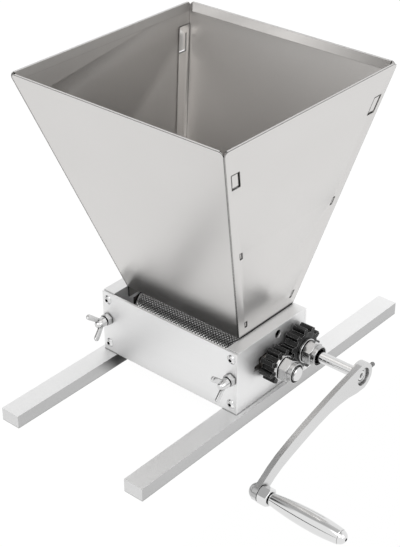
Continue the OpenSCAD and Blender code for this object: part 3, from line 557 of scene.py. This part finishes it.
def ring_stack(rings):
    """Closed skin over rings of equal point count, with one face at each end."""
    around = len(rings[0])
    points = [point for ring in rings for point in ring]
    faces = []
    for row in range(len(rings) - 1):
        for i in range(around):
            j = (i + 1) % around
            a, b = row * around + i, row * around + j
            faces.append((a, b, b + around, a + around))
    last = (len(rings) - 1) * around
    faces.append(tuple(reversed(range(around))))
    faces.append(tuple(range(last, last + around)))
    return points, faces


def turned(axis, stations, radius_at):
    """Rings along X at the stations, with the radius given by station and angle."""
    turns = [math.tau * i / shaft_around for i in range(shaft_around)]
    return [
        [point_at(axis, x, radius_at(x, angle), angle) for angle in turns]
        for x in stations
    ]


def plain(r):
    return lambda x, angle: r


def in_fours(length, step):
    """How many steps fill a length, as the nearest multiple of four."""
    return 4 * round(length / step / 4)


def barrel_end(points, faces, axis, face_x, rim, turns):
    """Closes the barrel with a bevel and a flat face, from the ring of points that rim starts."""
    around, base = len(turns), len(points)
    for r in (roller_r - bevel_depth, shaft_r * inner_ring_share):
        points += [point_at(axis, face_x, r, angle) for angle in turns]
    for i in range(around):
        j = (i + 1) % around
        outer, outer_next = base + i, base + j
        faces.append((rim + i, rim + j, outer_next, outer))
        faces.append((outer, outer_next, outer_next + around, outer + around))
    faces.append(tuple(base + around + i for i in range(around)))


def knurled_skin(axis, centre_x):
    """A roller's barrel: its points are high and low by turns, which makes the pyramids."""
    around = in_fours(math.tau * roller_r, knurl_half_pitch)
    along = in_fours(2 * roller_half, knurl_half_pitch)
    start = centre_x - roller_half + bevel_width
    step = 2 * (roller_half - bevel_width) / along
    turns = [math.tau * i / around for i in range(around)]
    points, faces = [], []
    for row in range(along + 1):
        for i, angle in enumerate(turns):
            is_high = (row + i) % 2 == 1 and row not in (0, along)
            r = roller_r if is_high else roller_r - knurl_depth
            points.append(point_at(axis, start + step * row, r, angle))
    for row in range(along):
        for i in range(around):
            j = (i + 1) % around
            near, near_next = row * around + i, row * around + j
            far, far_next = near + around, near_next + around
            if (row + i) % 2 == 0:
                faces.append((near, far_next, far))
                faces.append((near, near_next, far_next))
            else:
                faces.append((far, near, near_next))
                faces.append((far, near_next, far_next))
    for side, row in ((-1, 0), (1, along)):
        barrel_end(points, faces, axis, centre_x + side * roller_half, row * around, turns)
    return points, faces


def crank_end_skin(axis, start, flat_start, end):
    """The drive shaft's thinner end, with its flat in the crank's hub and its centre hole."""
    def radius_at(x, angle):
        r = crank_end_r - (crank_end_chamfer if x == end else 0)
        if x >= flat_start and math.cos(angle) > 0:
            return min(r, crank_end_flat / max(least_share, math.cos(angle)))
        return r

    stations = [start, flat_start - crank_flat_step, flat_start, end - crank_end_chamfer, end]
    rings = turned(axis, stations, radius_at)
    rings += turned(axis, [end], plain(centre_hole_r))
    rings += turned(axis, [end - centre_cone_depth, end - centre_pit_depth], plain(centre_pit_r))
    return ring_stack(rings)


def shaft_skins(node, gear, nut, axis, centre_x, has_crank):
    """The shaft in lengths: two journals, the gear's seat, the nut's thread, the crank's end."""
    low, high = low_high(node)
    nut_low, nut_high = low_high(nut)
    left_end = centre_x - roller_half + shaft_overlap
    right_start = centre_x + roller_half - shaft_overlap
    journal_end = low_high(gear)[0].x - gear_gap
    thread_end = nut_high.x + (-thread_short_of_nut if has_crank else thread_past_nut)
    thread_step = (thread_end - nut_low.x) / nut_thread_steps

    def chamfered_end(x, angle):
        return shaft_r - (shaft_chamfer if x == low.x else 0)

    def flatted(x, angle):
        """The gear's seat has two flats."""
        return min(shaft_r, gear_flat / max(least_share, abs(math.sin(angle))))

    def thread_cut(x, angle):
        """The nut's thread runs out in a chamfer."""
        phase = (x / nut_thread_pitch - angle / math.tau) % 1.0
        cut = nut_thread_depth * (1 - abs(2 * phase - 1) * nut_thread_flank)
        near_end = max(0.0, 1 - (thread_end - x) / shaft_chamfer)
        return min(
            shaft_r - max(0.0, min(nut_thread_depth, cut)),
            shaft_r - shaft_chamfer * near_end * thread_taper,
        )

    lengths = [
        ([low.x, low.x + shaft_chamfer, left_end], chamfered_end),
        ([right_start, journal_end], plain(shaft_r)),
        ([journal_end, nut_low.x], flatted),
        ([nut_low.x + thread_step * i for i in range(nut_thread_steps + 1)], thread_cut),
    ]
    skins = [ring_stack(turned(axis, stations, radius_at)) for stations, radius_at in lengths]
    if has_crank:
        start = thread_end - crank_end_overlap
        skins.append(crank_end_skin(axis, start, low_high("crank_arm")[0].x, high.x))
    return skins


def knurled_roller(node, gear, nut, has_crank):
    """Roller with a diamond knurl of real pyramids, and its shaft."""
    axis = middle(gear)
    centre_x = (low_high("left_side_plate")[1].x + low_high("right_side_plate")[0].x) / 2
    barrel = knurled_skin(axis, centre_x)
    knurled_faces = len(barrel[1])
    skins = [barrel] + shaft_skins(node, gear, nut, axis, centre_x, has_crank)
    piece = new_piece(node + "_knurled", joined_mesh(skins, node + "_knurled"))
    finish_piece(piece, node, knurl_facet)
    second_finish(piece, "shaft_steel", lambda face: face.index >= knurled_faces)


knurled_roller("drive_roller", "drive_gear", "drive_gear_nut", has_crank=True)
knurled_roller("driven_roller", "driven_gear", "driven_gear_nut", has_crank=False)


# Turned forms for nuts, screws and the handle


nut_face_share = 0.94
nut_chamfer = math.radians(32)
nut_chamfer_shares = (0.0, 0.2, 0.4, 0.6, 0.8, 1.0)
dome_steps = 8
dome_bend = 1.3
dome_lip_share = 1.12
least_rise_share = 0.08
head_rim_share, head_rim_rise_share = 0.985, 0.05
shank_tip_share, shank_tip_length_share = 0.8, 0.1
# A step too small to see, where a profile turns sharply
hair = 0.02 * MM
thread_steps_a_turn = 8
thread_flank = 1.3


def along_x(centre, start, sense=1):
    """Places a point given by its distance along X from the start and its offset in Y and Z."""
    return lambda s, u, v: (start + sense * s, centre.y + u, centre.z + v)


def along_y(centre, start, sense=1):
    """Places a point given by its distance along Y from the start and its offset in X and Z."""
    return lambda s, u, v: (centre.x + u, start + sense * s, centre.z + v)


def hexagon(flats):
    """Radius of a hexagon at an angle, by the size over its flats. One corner is at the top."""
    def radius(angle):
        off_flat = (angle - math.pi / 2) % (math.pi / 3) - math.pi / 6
        return flats / 2 / math.cos(off_flat)
    return radius


def chamfered(flats, length, both=True):
    """Profile of a hexagon nut whose corners are turned away at both ends, or at the far one."""
    shape = hexagon(flats)
    face = flats / 2 * nut_face_share
    reach = flats / 2 / math.cos(math.pi / 6)
    depth = (reach - face) * math.tan(nut_chamfer)

    def ring_at(s, from_end):
        limit = face + (reach - face) * from_end / depth
        return (s, lambda angle: min(shape(angle), limit))

    near = [ring_at(share * depth, share * depth) for share in nut_chamfer_shares]
    far = [
        ring_at(length - share * depth, share * depth)
        for share in reversed(nut_chamfer_shares)
    ]
    return (near if both else [(0.0, shape)]) + far


def head_and_socket(head_d, head_t, socket, socket_depth):
    """Profile of a button head's dome, from its rim to the floor of its hexagon socket."""
    dome_r = (head_d ** 2 / 4 + head_t ** 2) / (2 * head_t)
    lip_r = socket / 2 / math.cos(math.pi / 6) * dome_lip_share
    profile = []
    for i in range(1, dome_steps + 1):
        r = head_d / 2 + (lip_r - head_d / 2) * (i / dome_steps) ** dome_bend
        s = head_t - dome_r + math.sqrt(dome_r ** 2 - r ** 2)
        profile.append((max(s, least_rise_share * head_t), r))
    top = profile[-1][0]
    rim = hexagon(socket)
    return profile + [(top - hair, rim), (top - socket_depth, rim)]


def domed(head_d, head_t, socket, socket_depth):
    """Profile of a button head, from its flat underside to the floor of its socket."""
    profile = [
        (0.0, head_d / 2 * head_rim_share),
        (head_rim_rise_share * head_t, head_d / 2),
    ]
    return profile + head_and_socket(head_d, head_t, socket, socket_depth)


def shank(shank_d, length):
    """Profile of a plain shank that ends at zero, under a head."""
    return [
        (-length, shank_d / 2 * shank_tip_share),
        (-length + shank_d * shank_tip_length_share, shank_d / 2),
        (-hair, shank_d / 2),
    ]


def threaded(radius, pitch, depth, start, end):
    """Rings of a screw thread between two stations."""
    def cut(s):
        def at(angle):
            phase = (s / pitch - angle / math.tau) % 1.0
            return radius - depth * min(1.0, thread_flank * (1 - abs(2 * phase - 1)))
        return at

    count = max(2, round((end - start) / pitch * thread_steps_a_turn))
    stations = [start + (end - start) * i / count for i in range(count + 1)]
    return [(s, cut(s)) for s in stations]


def lathe_part(place, profile, around, bore=()):
    """Points and faces of a solid turned about an axis, or of a sleeve when it has a bore."""
    profile = [*profile, *bore]
    points = []
    for s, radius in profile:
        for i in range(around):
            angle = math.tau * i / around
            r = radius(angle) if callable(radius) else radius
            points.append(place(s, r * math.cos(angle), r * math.sin(angle)))
    faces = []
    rows = len(profile)
    for row in range(rows if bore else rows - 1):
        for i in range(around):
            j = (i + 1) % around
            a, b = row * around, (row + 1) % rows * around
            faces.append((a + i, a + j, b + j, b + i))
    if not bore:
        faces.append(tuple(reversed(range(around))))
        faces.append(tuple(range((rows - 1) * around, rows * around)))
    return points, faces


def turned_piece(node, skins):
    """One piece made of turned skins, standing for a CAD node."""
    finish_piece(new_piece(node + "_turned", joined_mesh(skins, node + "_turned")), node)


# Points around a nut, a mid sized piece and a screw
nut_around, piece_around, screw_around = 96, 72, 48


# Gear nuts and their locking rings


shaft_bore = 6.42 * MM
gear_nut_flats, gear_nut_hexagon = 19 * MM, 9 * MM
collar_r = 9 * MM
collar_foot = 0.1 * MM
collar_turns = ((0.5 * MM, 0.0), (0.1 * MM, 0.35 * MM), (0.0, 0.6 * MM))
ring_seat_gap, ring_gap = 0.03 * MM, 0.06 * MM
seat_lip_r, seat_lip = 0.2 * MM, 0.3 * MM
nut_ring_edge = 0.35 * MM


def gear_nut(nut, nut_ring):
    low, high = low_high(nut)
    ring_low, ring_high = low_high(nut_ring)
    centre = middle(nut)
    height = high.x - low.x
    seat = ring_low.x - low.x
    seat_r = (ring_high.z - ring_low.z) / 2 + ring_seat_gap
    profile = chamfered(gear_nut_flats, gear_nut_hexagon)
    profile.append((gear_nut_hexagon + collar_foot, collar_r))
    profile += [(height - below, collar_r - less) for below, less in collar_turns]
    bore = [
        (height, seat_r + seat_lip_r),
        (height - seat_lip, seat_r),
        (seat, seat_r),
        (seat, shaft_bore),
        (0.0, shaft_bore),
    ]
    turned_piece(nut, [lathe_part(along_x(centre, low.x), profile, nut_around, bore)])

    width, edge = ring_high.x - ring_low.x, nut_ring_edge
    outer_r = seat_r - ring_gap
    profile = [(0.0, outer_r), (width - edge, outer_r), (width, outer_r - edge)]
    bore = [(width, shaft_bore + edge), (width - edge, shaft_bore), (0.0, shaft_bore)]
    turned_piece(nut_ring, [
        lathe_part(along_x(centre, ring_low.x), profile, piece_around, bore)
    ])


for name in ("drive", "driven"):
    gear_nut(name + "_gear_nut", name + "_nut_ring")


# Lock nuts and wing screws


lock_nut_flats, lock_nut_bore = 10 * MM, 3.1 * MM
for side in ("left", "right"):
    nut = side + "_lock_nut"
    low, high = low_high(nut)
    height = high.y - low.y
    profile = chamfered(lock_nut_flats, height, both=False)
    bore = [(height, lock_nut_bore), (0.0, lock_nut_bore)]
    turned_piece(nut, [
        lathe_part(along_y(middle(nut), high.y, -1), profile, nut_around, bore)
    ])

# A wing's root and tip, by their distance from the axis and ahead of the nut
wing_root, wing_tip = Vector((3.2, 5.6)) * MM, Vector((10.2, 14.2)) * MM
wing_root_r, wing_tip_r = 2.1 * MM, 2.5 * MM
wing_t, wing_edge = 2.3 * MM, 0.55 * MM
wing_edge_share = 0.3
wing_round_steps = 12
wing_length = 16.8 * MM
wing_turn = {"left": math.radians(115), "right": math.radians(102)}
wing_hub_length = 9.5 * MM
wing_hub = [
    (0.0, 4.1 * MM),
    (0.4 * MM, 4.5 * MM),
    (0.55 * wing_hub_length, 4.2 * MM),
    (wing_hub_length - 0.8 * MM, 3.0 * MM),
    (wing_hub_length, 2.2 * MM),
]
wing_thread_r, wing_thread_pitch, wing_thread_depth = 3 * MM, 1 * MM, 0.5 * MM
wing_thread_around = 32


def wing_ring(inset):
    """Outline of a wing, as distance from the axis and distance ahead of the nut."""
    along = (wing_tip - wing_root).normalized()
    aside = Vector((-along.y, along.x))
    ring = []
    for centre, r, start in (
        (wing_tip, wing_tip_r - inset, -math.pi / 2),
        (wing_root, wing_root_r - inset, math.pi / 2),
    ):
        for i in range(wing_round_steps + 1):
            angle = start + math.pi * i / wing_round_steps
            ring.append(centre + along * r * math.cos(angle) + aside * r * math.sin(angle))
    return ring


def wing_part(centre, start, turn):
    """Points and faces of one wing, rounded along its edges."""
    rounding = wing_edge_share * wing_edge
    layers = [
        (-wing_t / 2, wing_edge),
        (-wing_t / 2 + rounding, rounding),
        (-wing_t / 2 + wing_edge, 0.0),
        (wing_t / 2 - wing_edge, 0.0),
        (wing_t / 2 - rounding, rounding),
        (wing_t / 2, wing_edge),
    ]
    return ring_stack([
        [
            (
                centre.x + point.x * math.cos(turn) - side * math.sin(turn),
                start - point.y,
                centre.z + point.x * math.sin(turn) + side * math.cos(turn),
            )
            for point in wing_ring(inset)
        ]
        for side, inset in layers
    ])


for side, turn in wing_turn.items():
    node = side + "_wing_screw"
    low, high = low_high(node)
    centre = middle(side + "_lock_nut")
    start = low.y + wing_length
    thread = threaded(
        wing_thread_r, wing_thread_pitch, wing_thread_depth, -wing_thread_depth, high.y - start
    )
    turned_piece(node, [
        lathe_part(along_y(centre, start, -1), wing_hub, screw_around),
        lathe_part(along_y(centre, start), thread, wing_thread_around),
        wing_part(centre, start, turn),
        wing_part(centre, start, turn + math.pi),
    ])


# Screws


solid_head_r = 3.5 * MM
plate_head_d, plate_head_t = 9.2 * MM, 2.3 * MM
plate_socket, plate_socket_depth = 3 * MM, 1.6 * MM
plate_shank_d, plate_shank_length = 4 * MM, 12 * MM
plate_screw = shank(plate_shank_d, plate_shank_length)
plate_screw += domed(plate_head_d, plate_head_t, plate_socket, plate_socket_depth)
for node, faces_front in (("front_plate_screws", True), ("back_plate_screws", False)):
    low, high = low_high(node)
    seat = low.y + plate_head_t if faces_front else high.y - plate_head_t
    outward = -1 if faces_front else 1
    screws = []
    for x in (low.x + solid_head_r, high.x - solid_head_r):
        for z in (low.z + solid_head_r, high.z - solid_head_r):
            place = along_y(Vector((x, 0, z)), seat, outward)
            screws.append(lathe_part(place, plate_screw, screw_around))
    turned_piece(node, screws)

# The hopper's cap screws, from the shank's tip to the floor of the socket
cap_head_d, cap_head_t = 7.6 * MM, 4 * MM
cap_shank_r, cap_shank_length = 2 * MM, 8 * MM
cap_tip, cap_bead, cap_edge = 0.4 * MM, 0.2 * MM, 0.4 * MM
cap_socket, cap_socket_lip = cap_head_d / 2, 0.1 * MM
cap_socket_rim_share = 1.25
cap_screw = [
    (cap_head_t + cap_shank_length, cap_shank_r - cap_tip),
    (cap_head_t + cap_shank_length - cap_tip, cap_shank_r),
    (cap_head_t, cap_shank_r),
    (cap_head_t, cap_head_d / 2 - cap_bead),
    (cap_head_t - cap_bead, cap_head_d / 2),
    (cap_edge, cap_head_d / 2),
    (0.0, cap_head_d / 2 - cap_edge),
    (0.0, cap_socket / 2 * cap_socket_rim_share),
    (cap_socket_lip, hexagon(cap_socket)),
    (cap_head_t / 2, hexagon(cap_socket)),
]
low, high = low_high("hopper_screws")
centre = middle("hopper_screws")
turned_piece("hopper_screws", [
    lathe_part(along_x(centre, tip, -sense), cap_screw, screw_around)
    for sense, tip in ((1, high.x), (-1, low.x))
])

# The set screw, which stands out of the crank's hub
set_screw_r, set_screw_pitch, set_screw_depth = 2 * MM, 0.7 * MM, 0.36 * MM
set_screw_reach = 2.5 * MM
set_screw_end = 0.5 * MM
set_screw_tip_r, set_screw_rim_r = 1.5 * MM, 1.65 * MM
set_screw_socket, set_screw_socket_depth = 2.5 * MM, 3 * MM
set_screw_lip = 0.05 * MM
low, high = low_high("crank_set_screw")
length = high.y - low.y + set_screw_reach
profile = [(0.0, set_screw_tip_r)]
profile += threaded(
    set_screw_r, set_screw_pitch, set_screw_depth, set_screw_end, length - set_screw_end
)
profile += [
    (length, set_screw_rim_r),
    (length, set_screw_tip_r),
    (length - set_screw_lip, hexagon(set_screw_socket)),
    (length - set_screw_socket_depth, hexagon(set_screw_socket)),
]
place = along_y(middle("crank_set_screw"), low.y)
turned_piece("crank_set_screw", [lathe_part(place, profile, screw_around)])


# Handle: spindle, nuts and grip


spindle_d, spindle_bore = 6.3 * MM, 3.2 * MM
spindle_head_d, spindle_head_t = 11.6 * MM, 5 * MM
spindle_socket, spindle_socket_depth = 2.5 * MM, 1.4 * MM
handle_nut_flats = 14 * MM
neck_r, belly_r, end_r = 5 * MM, 8 * MM, 6.3 * MM
belly_share = 0.62
grip_bore = 3.35 * MM
grip_lip = 0.5 * MM
grip_steps = 40

low, high = low_high("handle_spindle")
profile = shank(spindle_d, high.x - low.x - spindle_head_t)
profile += domed(spindle_head_d, spindle_head_t, spindle_socket, spindle_socket_depth)
place = along_x(handle_axis, high.x - spindle_head_t)
turned_piece("handle_spindle", [lathe_part(place, profile, piece_around)])

low, high = low_high("handle_nut")
profile = chamfered(handle_nut_flats, high.x - low.x)
bore = [(high.x - low.x, spindle_bore), (0.0, spindle_bore)]
place = along_x(handle_axis, low.x)
turned_piece("handle_nut", [lathe_part(place, profile, nut_around, bore)])

low, high = low_high("handle_cap_nut")
profile = domed(handle_nut_flats, high.x - low.x, spindle_socket, spindle_socket_depth)
place = along_x(handle_axis, high.x, -1)
turned_piece("handle_cap_nut", [lathe_part(place, profile, piece_around)])

low, high = low_high("handle_grip")
grip_length = high.x - low.x
belly_at = belly_share * grip_length


def grip_radius(s):
    """Radius along the grip: an arc from the neck to the belly, and one on to the end."""
    if s < belly_at:
        span, drop = belly_at, belly_r - neck_r
    else:
        span, drop = grip_length - belly_at, belly_r - end_r
    bulge_r = (span ** 2 + drop ** 2) / (2 * drop)
    return belly_r - bulge_r + math.sqrt(bulge_r ** 2 - (s - belly_at) ** 2)


grip_step = (grip_length - 2 * grip_lip) / grip_steps
stations = [grip_lip + grip_step * i for i in range(grip_steps + 1)]
profile = [(0.0, grip_radius(0) - grip_lip)]
profile += [(s, grip_radius(s)) for s in stations]
profile.append((grip_length, grip_radius(grip_length) - grip_lip))
bore = [(grip_length, grip_bore), (0.0, grip_bore)]
place = along_x(handle_axis, low.x)
turned_piece("handle_grip", [lathe_part(place, profile, nut_around, bore)])


# Solids that stay as they are


for name, node_object in frame["nodes"].items():
    if name in replaced:
        continue
    node_object.data.materials.clear()
    node_object.data.materials.append(materials[node_material[name]])


# Floor and world, white where they are seen


def white_where_seen(tree, output, surface, strength=1.0, keep=0.0):
    """Shows white to the camera and in gloss, and the given surface to all other light.

    A share of the surface, keep, still shows in the white.
    """
    path = tree.nodes.new("ShaderNodeLightPath")
    glow = tree.nodes.new("ShaderNodeEmission")
    glow.inputs["Strength"].default_value = strength
    seen = tree.nodes.new("ShaderNodeMath")
    seen.operation = "MAXIMUM"
    share = tree.nodes.new("ShaderNodeMath")
    share.operation = "MULTIPLY"
    share.inputs[1].default_value = 1.0 - keep
    mix = tree.nodes.new("ShaderNodeMixShader")
    tree.links.new(path.outputs["Is Camera Ray"], seen.inputs[0])
    tree.links.new(path.outputs["Is Glossy Ray"], seen.inputs[1])
    tree.links.new(seen.outputs["Value"], share.inputs[0])
    tree.links.new(share.outputs["Value"], mix.inputs["Fac"])
    tree.links.new(surface, mix.inputs[1])
    tree.links.new(glow.outputs["Emission"], mix.inputs[2])
    tree.links.new(mix.outputs["Shader"], output)


# The crank swings lower than the bars stand, so the floor ends short of it, as a table does
floor_size = 6.0
floor_drop = 0.2 * MM
crank_room = 8 * MM
floor_tone, floor_roughness = 0.85, 0.9
floor_strength, floor_keep = 1.04, 0.06
floor_end = low_high("crank_arm")[0].x - crank_room
floor_mesh = mesh_from(
    [
        (-floor_size, -floor_size, 0),
        (floor_end, -floor_size, 0),
        (floor_end, floor_size, 0),
        (-floor_size, floor_size, 0),
    ],
    [(0, 1, 2, 3)],
    "floor",
)
floor = new_piece("floor", floor_mesh)
floor.location.z = cad_bounds[0][2] - floor_drop
floor_material = bpy.data.materials.new("white_floor")
floor_material.use_nodes = True
floor_tree = floor_material.node_tree
floor_bsdf = floor_tree.nodes["Principled BSDF"]
floor_bsdf.inputs["Base Color"].default_value = (*grey(floor_tone), 1)
floor_bsdf.inputs["Roughness"].default_value = floor_roughness
white_where_seen(
    floor_tree,
    floor_tree.nodes["Material Output"].inputs["Surface"],
    floor_bsdf.outputs["BSDF"],
    floor_strength,
    floor_keep,
)
floor_mesh.materials.append(floor_material)

fill_strength = 0.55
world = bpy.data.worlds.new("studio")
bpy.context.scene.world = world
world.use_nodes = True
world_tree = world.node_tree
fill_light = world_tree.nodes["Background"]
fill_light.inputs["Color"].default_value = (*grey(1.0), 1)
fill_light.inputs["Strength"].default_value = fill_strength
white_where_seen(
    world_tree,
    world_tree.nodes["World Output"].inputs["Surface"],
    fill_light.outputs["Background"],
)


# Lamps, and grey cards for the metal to reflect


aim = Vector((-0.03, -0.02, 0.12))


def soft_lamp(name, place, size, power):
    """A square lamp that looks at the mill."""
    lamp = bpy.data.lights.new(name, "AREA")
    lamp.shape = "RECTANGLE"
    lamp.size, lamp.size_y = size, size
    lamp.energy = power
    thing = bpy.data.objects.new(name, lamp)
    bpy.context.scene.collection.objects.link(thing)
    thing.location = place
    thing.rotation_euler = (aim - Vector(place)).to_track_quat("-Z", "Y").to_euler()


def nearness(tree, centred, is_square):
    """One in the middle of a card and none at its rim, which is an ellipse or the card's sides."""
    if not is_square:
        fade = tree.nodes.new("ShaderNodeTexGradient")
        fade.gradient_type = "SPHERICAL"
        tree.links.new(centred, fade.inputs["Vector"])
        return fade.outputs["Fac"]
    sides = tree.nodes.new("ShaderNodeVectorMath")
    sides.operation = "ABSOLUTE"
    split = tree.nodes.new("ShaderNodeSeparateXYZ")
    farther = tree.nodes.new("ShaderNodeMath")
    farther.operation = "MAXIMUM"
    fade = tree.nodes.new("ShaderNodeMath")
    fade.operation = "SUBTRACT"
    fade.inputs[0].default_value = 1
    tree.links.new(centred, sides.inputs[0])
    tree.links.new(sides.outputs["Vector"], split.inputs["Vector"])
    tree.links.new(split.outputs["X"], farther.inputs[0])
    tree.links.new(split.outputs["Y"], farther.inputs[1])
    tree.links.new(farther.outputs["Value"], fade.inputs[1])
    return fade.outputs["Value"]


def card_material(name, level, soft_share, is_square):
    """A grey glow that fades out over the soft share of the way from the rim to the middle."""
    material = bpy.data.materials.new(name)
    material.use_nodes = True
    tree = material.node_tree
    glow = tree.nodes.new("ShaderNodeEmission")
    glow.inputs["Color"].default_value = (*grey(level), 1)
    clear = tree.nodes.new("ShaderNodeBsdfTransparent")
    place = tree.nodes.new("ShaderNodeTexCoord")
    centred = tree.nodes.new("ShaderNodeMapping")
    centred.inputs["Location"].default_value = (-1, -1, 0)
    centred.inputs["Scale"].default_value = (2, 2, 0)
    rise = tree.nodes.new("ShaderNodeMapRange")
    rise.interpolation_type = "SMOOTHSTEP"
    rise.inputs["From Max"].default_value = soft_share
    mix = tree.nodes.new("ShaderNodeMixShader")
    tree.links.new(place.outputs["Generated"], centred.inputs["Vector"])
    fade = nearness(tree, centred.outputs["Vector"], is_square)
    tree.links.new(fade, rise.inputs["Value"])
    tree.links.new(rise.outputs["Result"], mix.inputs["Fac"])
    tree.links.new(clear.outputs["BSDF"], mix.inputs[1])
    tree.links.new(glow.outputs["Emission"], mix.inputs[2])
    tree.links.new(mix.outputs["Shader"], tree.nodes["Material Output"].inputs["Surface"])
    return material


def grey_card(name, place, size, level, soft_share=0.5, is_square=False):
    """A soft edged grey card that looks at the mill and is seen only in the metal's gloss."""
    half_width, half_height = size[0] / 2, size[1] / 2
    mesh = mesh_from(
        [
            (-half_width, -half_height, 0),
            (half_width, -half_height, 0),
            (half_width, half_height, 0),
            (-half_width, half_height, 0),
        ],
        [(0, 1, 2, 3)],
        name,
    )
    mesh.materials.append(card_material(name, level, soft_share, is_square))
    card = new_piece(name, mesh)
    card.location = place
    card.rotation_euler = (aim - Vector(place)).to_track_quat("Z", "Y").to_euler()
    card.visible_camera = False
    card.visible_diffuse = False
    card.visible_shadow = False
    return card


soft_lamp("key_lamp", place=(0.5, -1.4, 1.6), size=1.5, power=9)
soft_lamp("right_lamp", place=(1.6, -0.2, 0.9), size=1.2, power=5)
soft_lamp("top_lamp", place=(0.0, 0.3, 1.9), size=1.4, power=5)
grey_card("upper_card", place=(-0.72, -0.25, 1.40), size=(1.5, 1.5), level=0.50)
grey_card("front_card", place=(-1.2, -0.65, 0.85), size=(1.4, 1.4), level=0.06)
grey_card("ceiling_card", place=(0.0, 0.1, 1.7), size=(2.4, 2.4), level=0.62)
grey_card("horizon_card", place=(-1.1, -1.55, 0.16), size=(3.2, 0.34), level=0.02)

# The floor under the housing lies in its shade, which reaches a little past the housing. A dark
# card there, seen only in the metal's gloss, paints that shade into the reflections.
shade_rise = 0.4 * MM
shade_share_x, shade_share_y = 1.13, 1.42
front_face, back_face = low_high("front_plate")[0], low_high("back_plate")[1]
shade_place = (front_face + back_face) / 2
shade_place.z = shade_rise
shade_size = (
    shade_share_x * (back_face.x - front_face.x),
    shade_share_y * (back_face.y - front_face.y),
)
floor_shade = grey_card(
    "floor_shade", shade_place, shade_size, level=0.04, soft_share=0.4, is_square=True
)
floor_shade.rotation_euler = (0, 0, 0)


# The camera stands where the photograph's perspective puts it


camera_place = Vector((0.57618, -0.75086, 0.69757))
camera_aim = Vector((-0.04144, -0.03573, 0.12))
camera_roll = math.radians(-0.18)
camera_shift_x = -0.002
view_height_mm, lens_mm = 36.0, 87.63
nearest, farthest = 0.05, 20
camera_data = bpy.data.cameras.new("camera")
camera_data.sensor_fit = "VERTICAL"
camera_data.sensor_height = view_height_mm
camera_data.lens = lens_mm
camera_data.shift_x = camera_shift_x
camera_data.clip_start = nearest
camera_data.clip_end = farthest
camera = bpy.data.objects.new("camera", camera_data)
bpy.context.scene.collection.objects.link(camera)
look = (camera_aim - camera_place).to_track_quat("-Z", "Y").to_matrix().to_4x4()
roll = Matrix.Rotation(camera_roll, 4, "Z")
camera.matrix_world = Matrix.Translation(camera_place) @ look @ roll
bpy.context.scene.camera = camera

bpy.context.scene.view_settings.view_transform = "Standard"
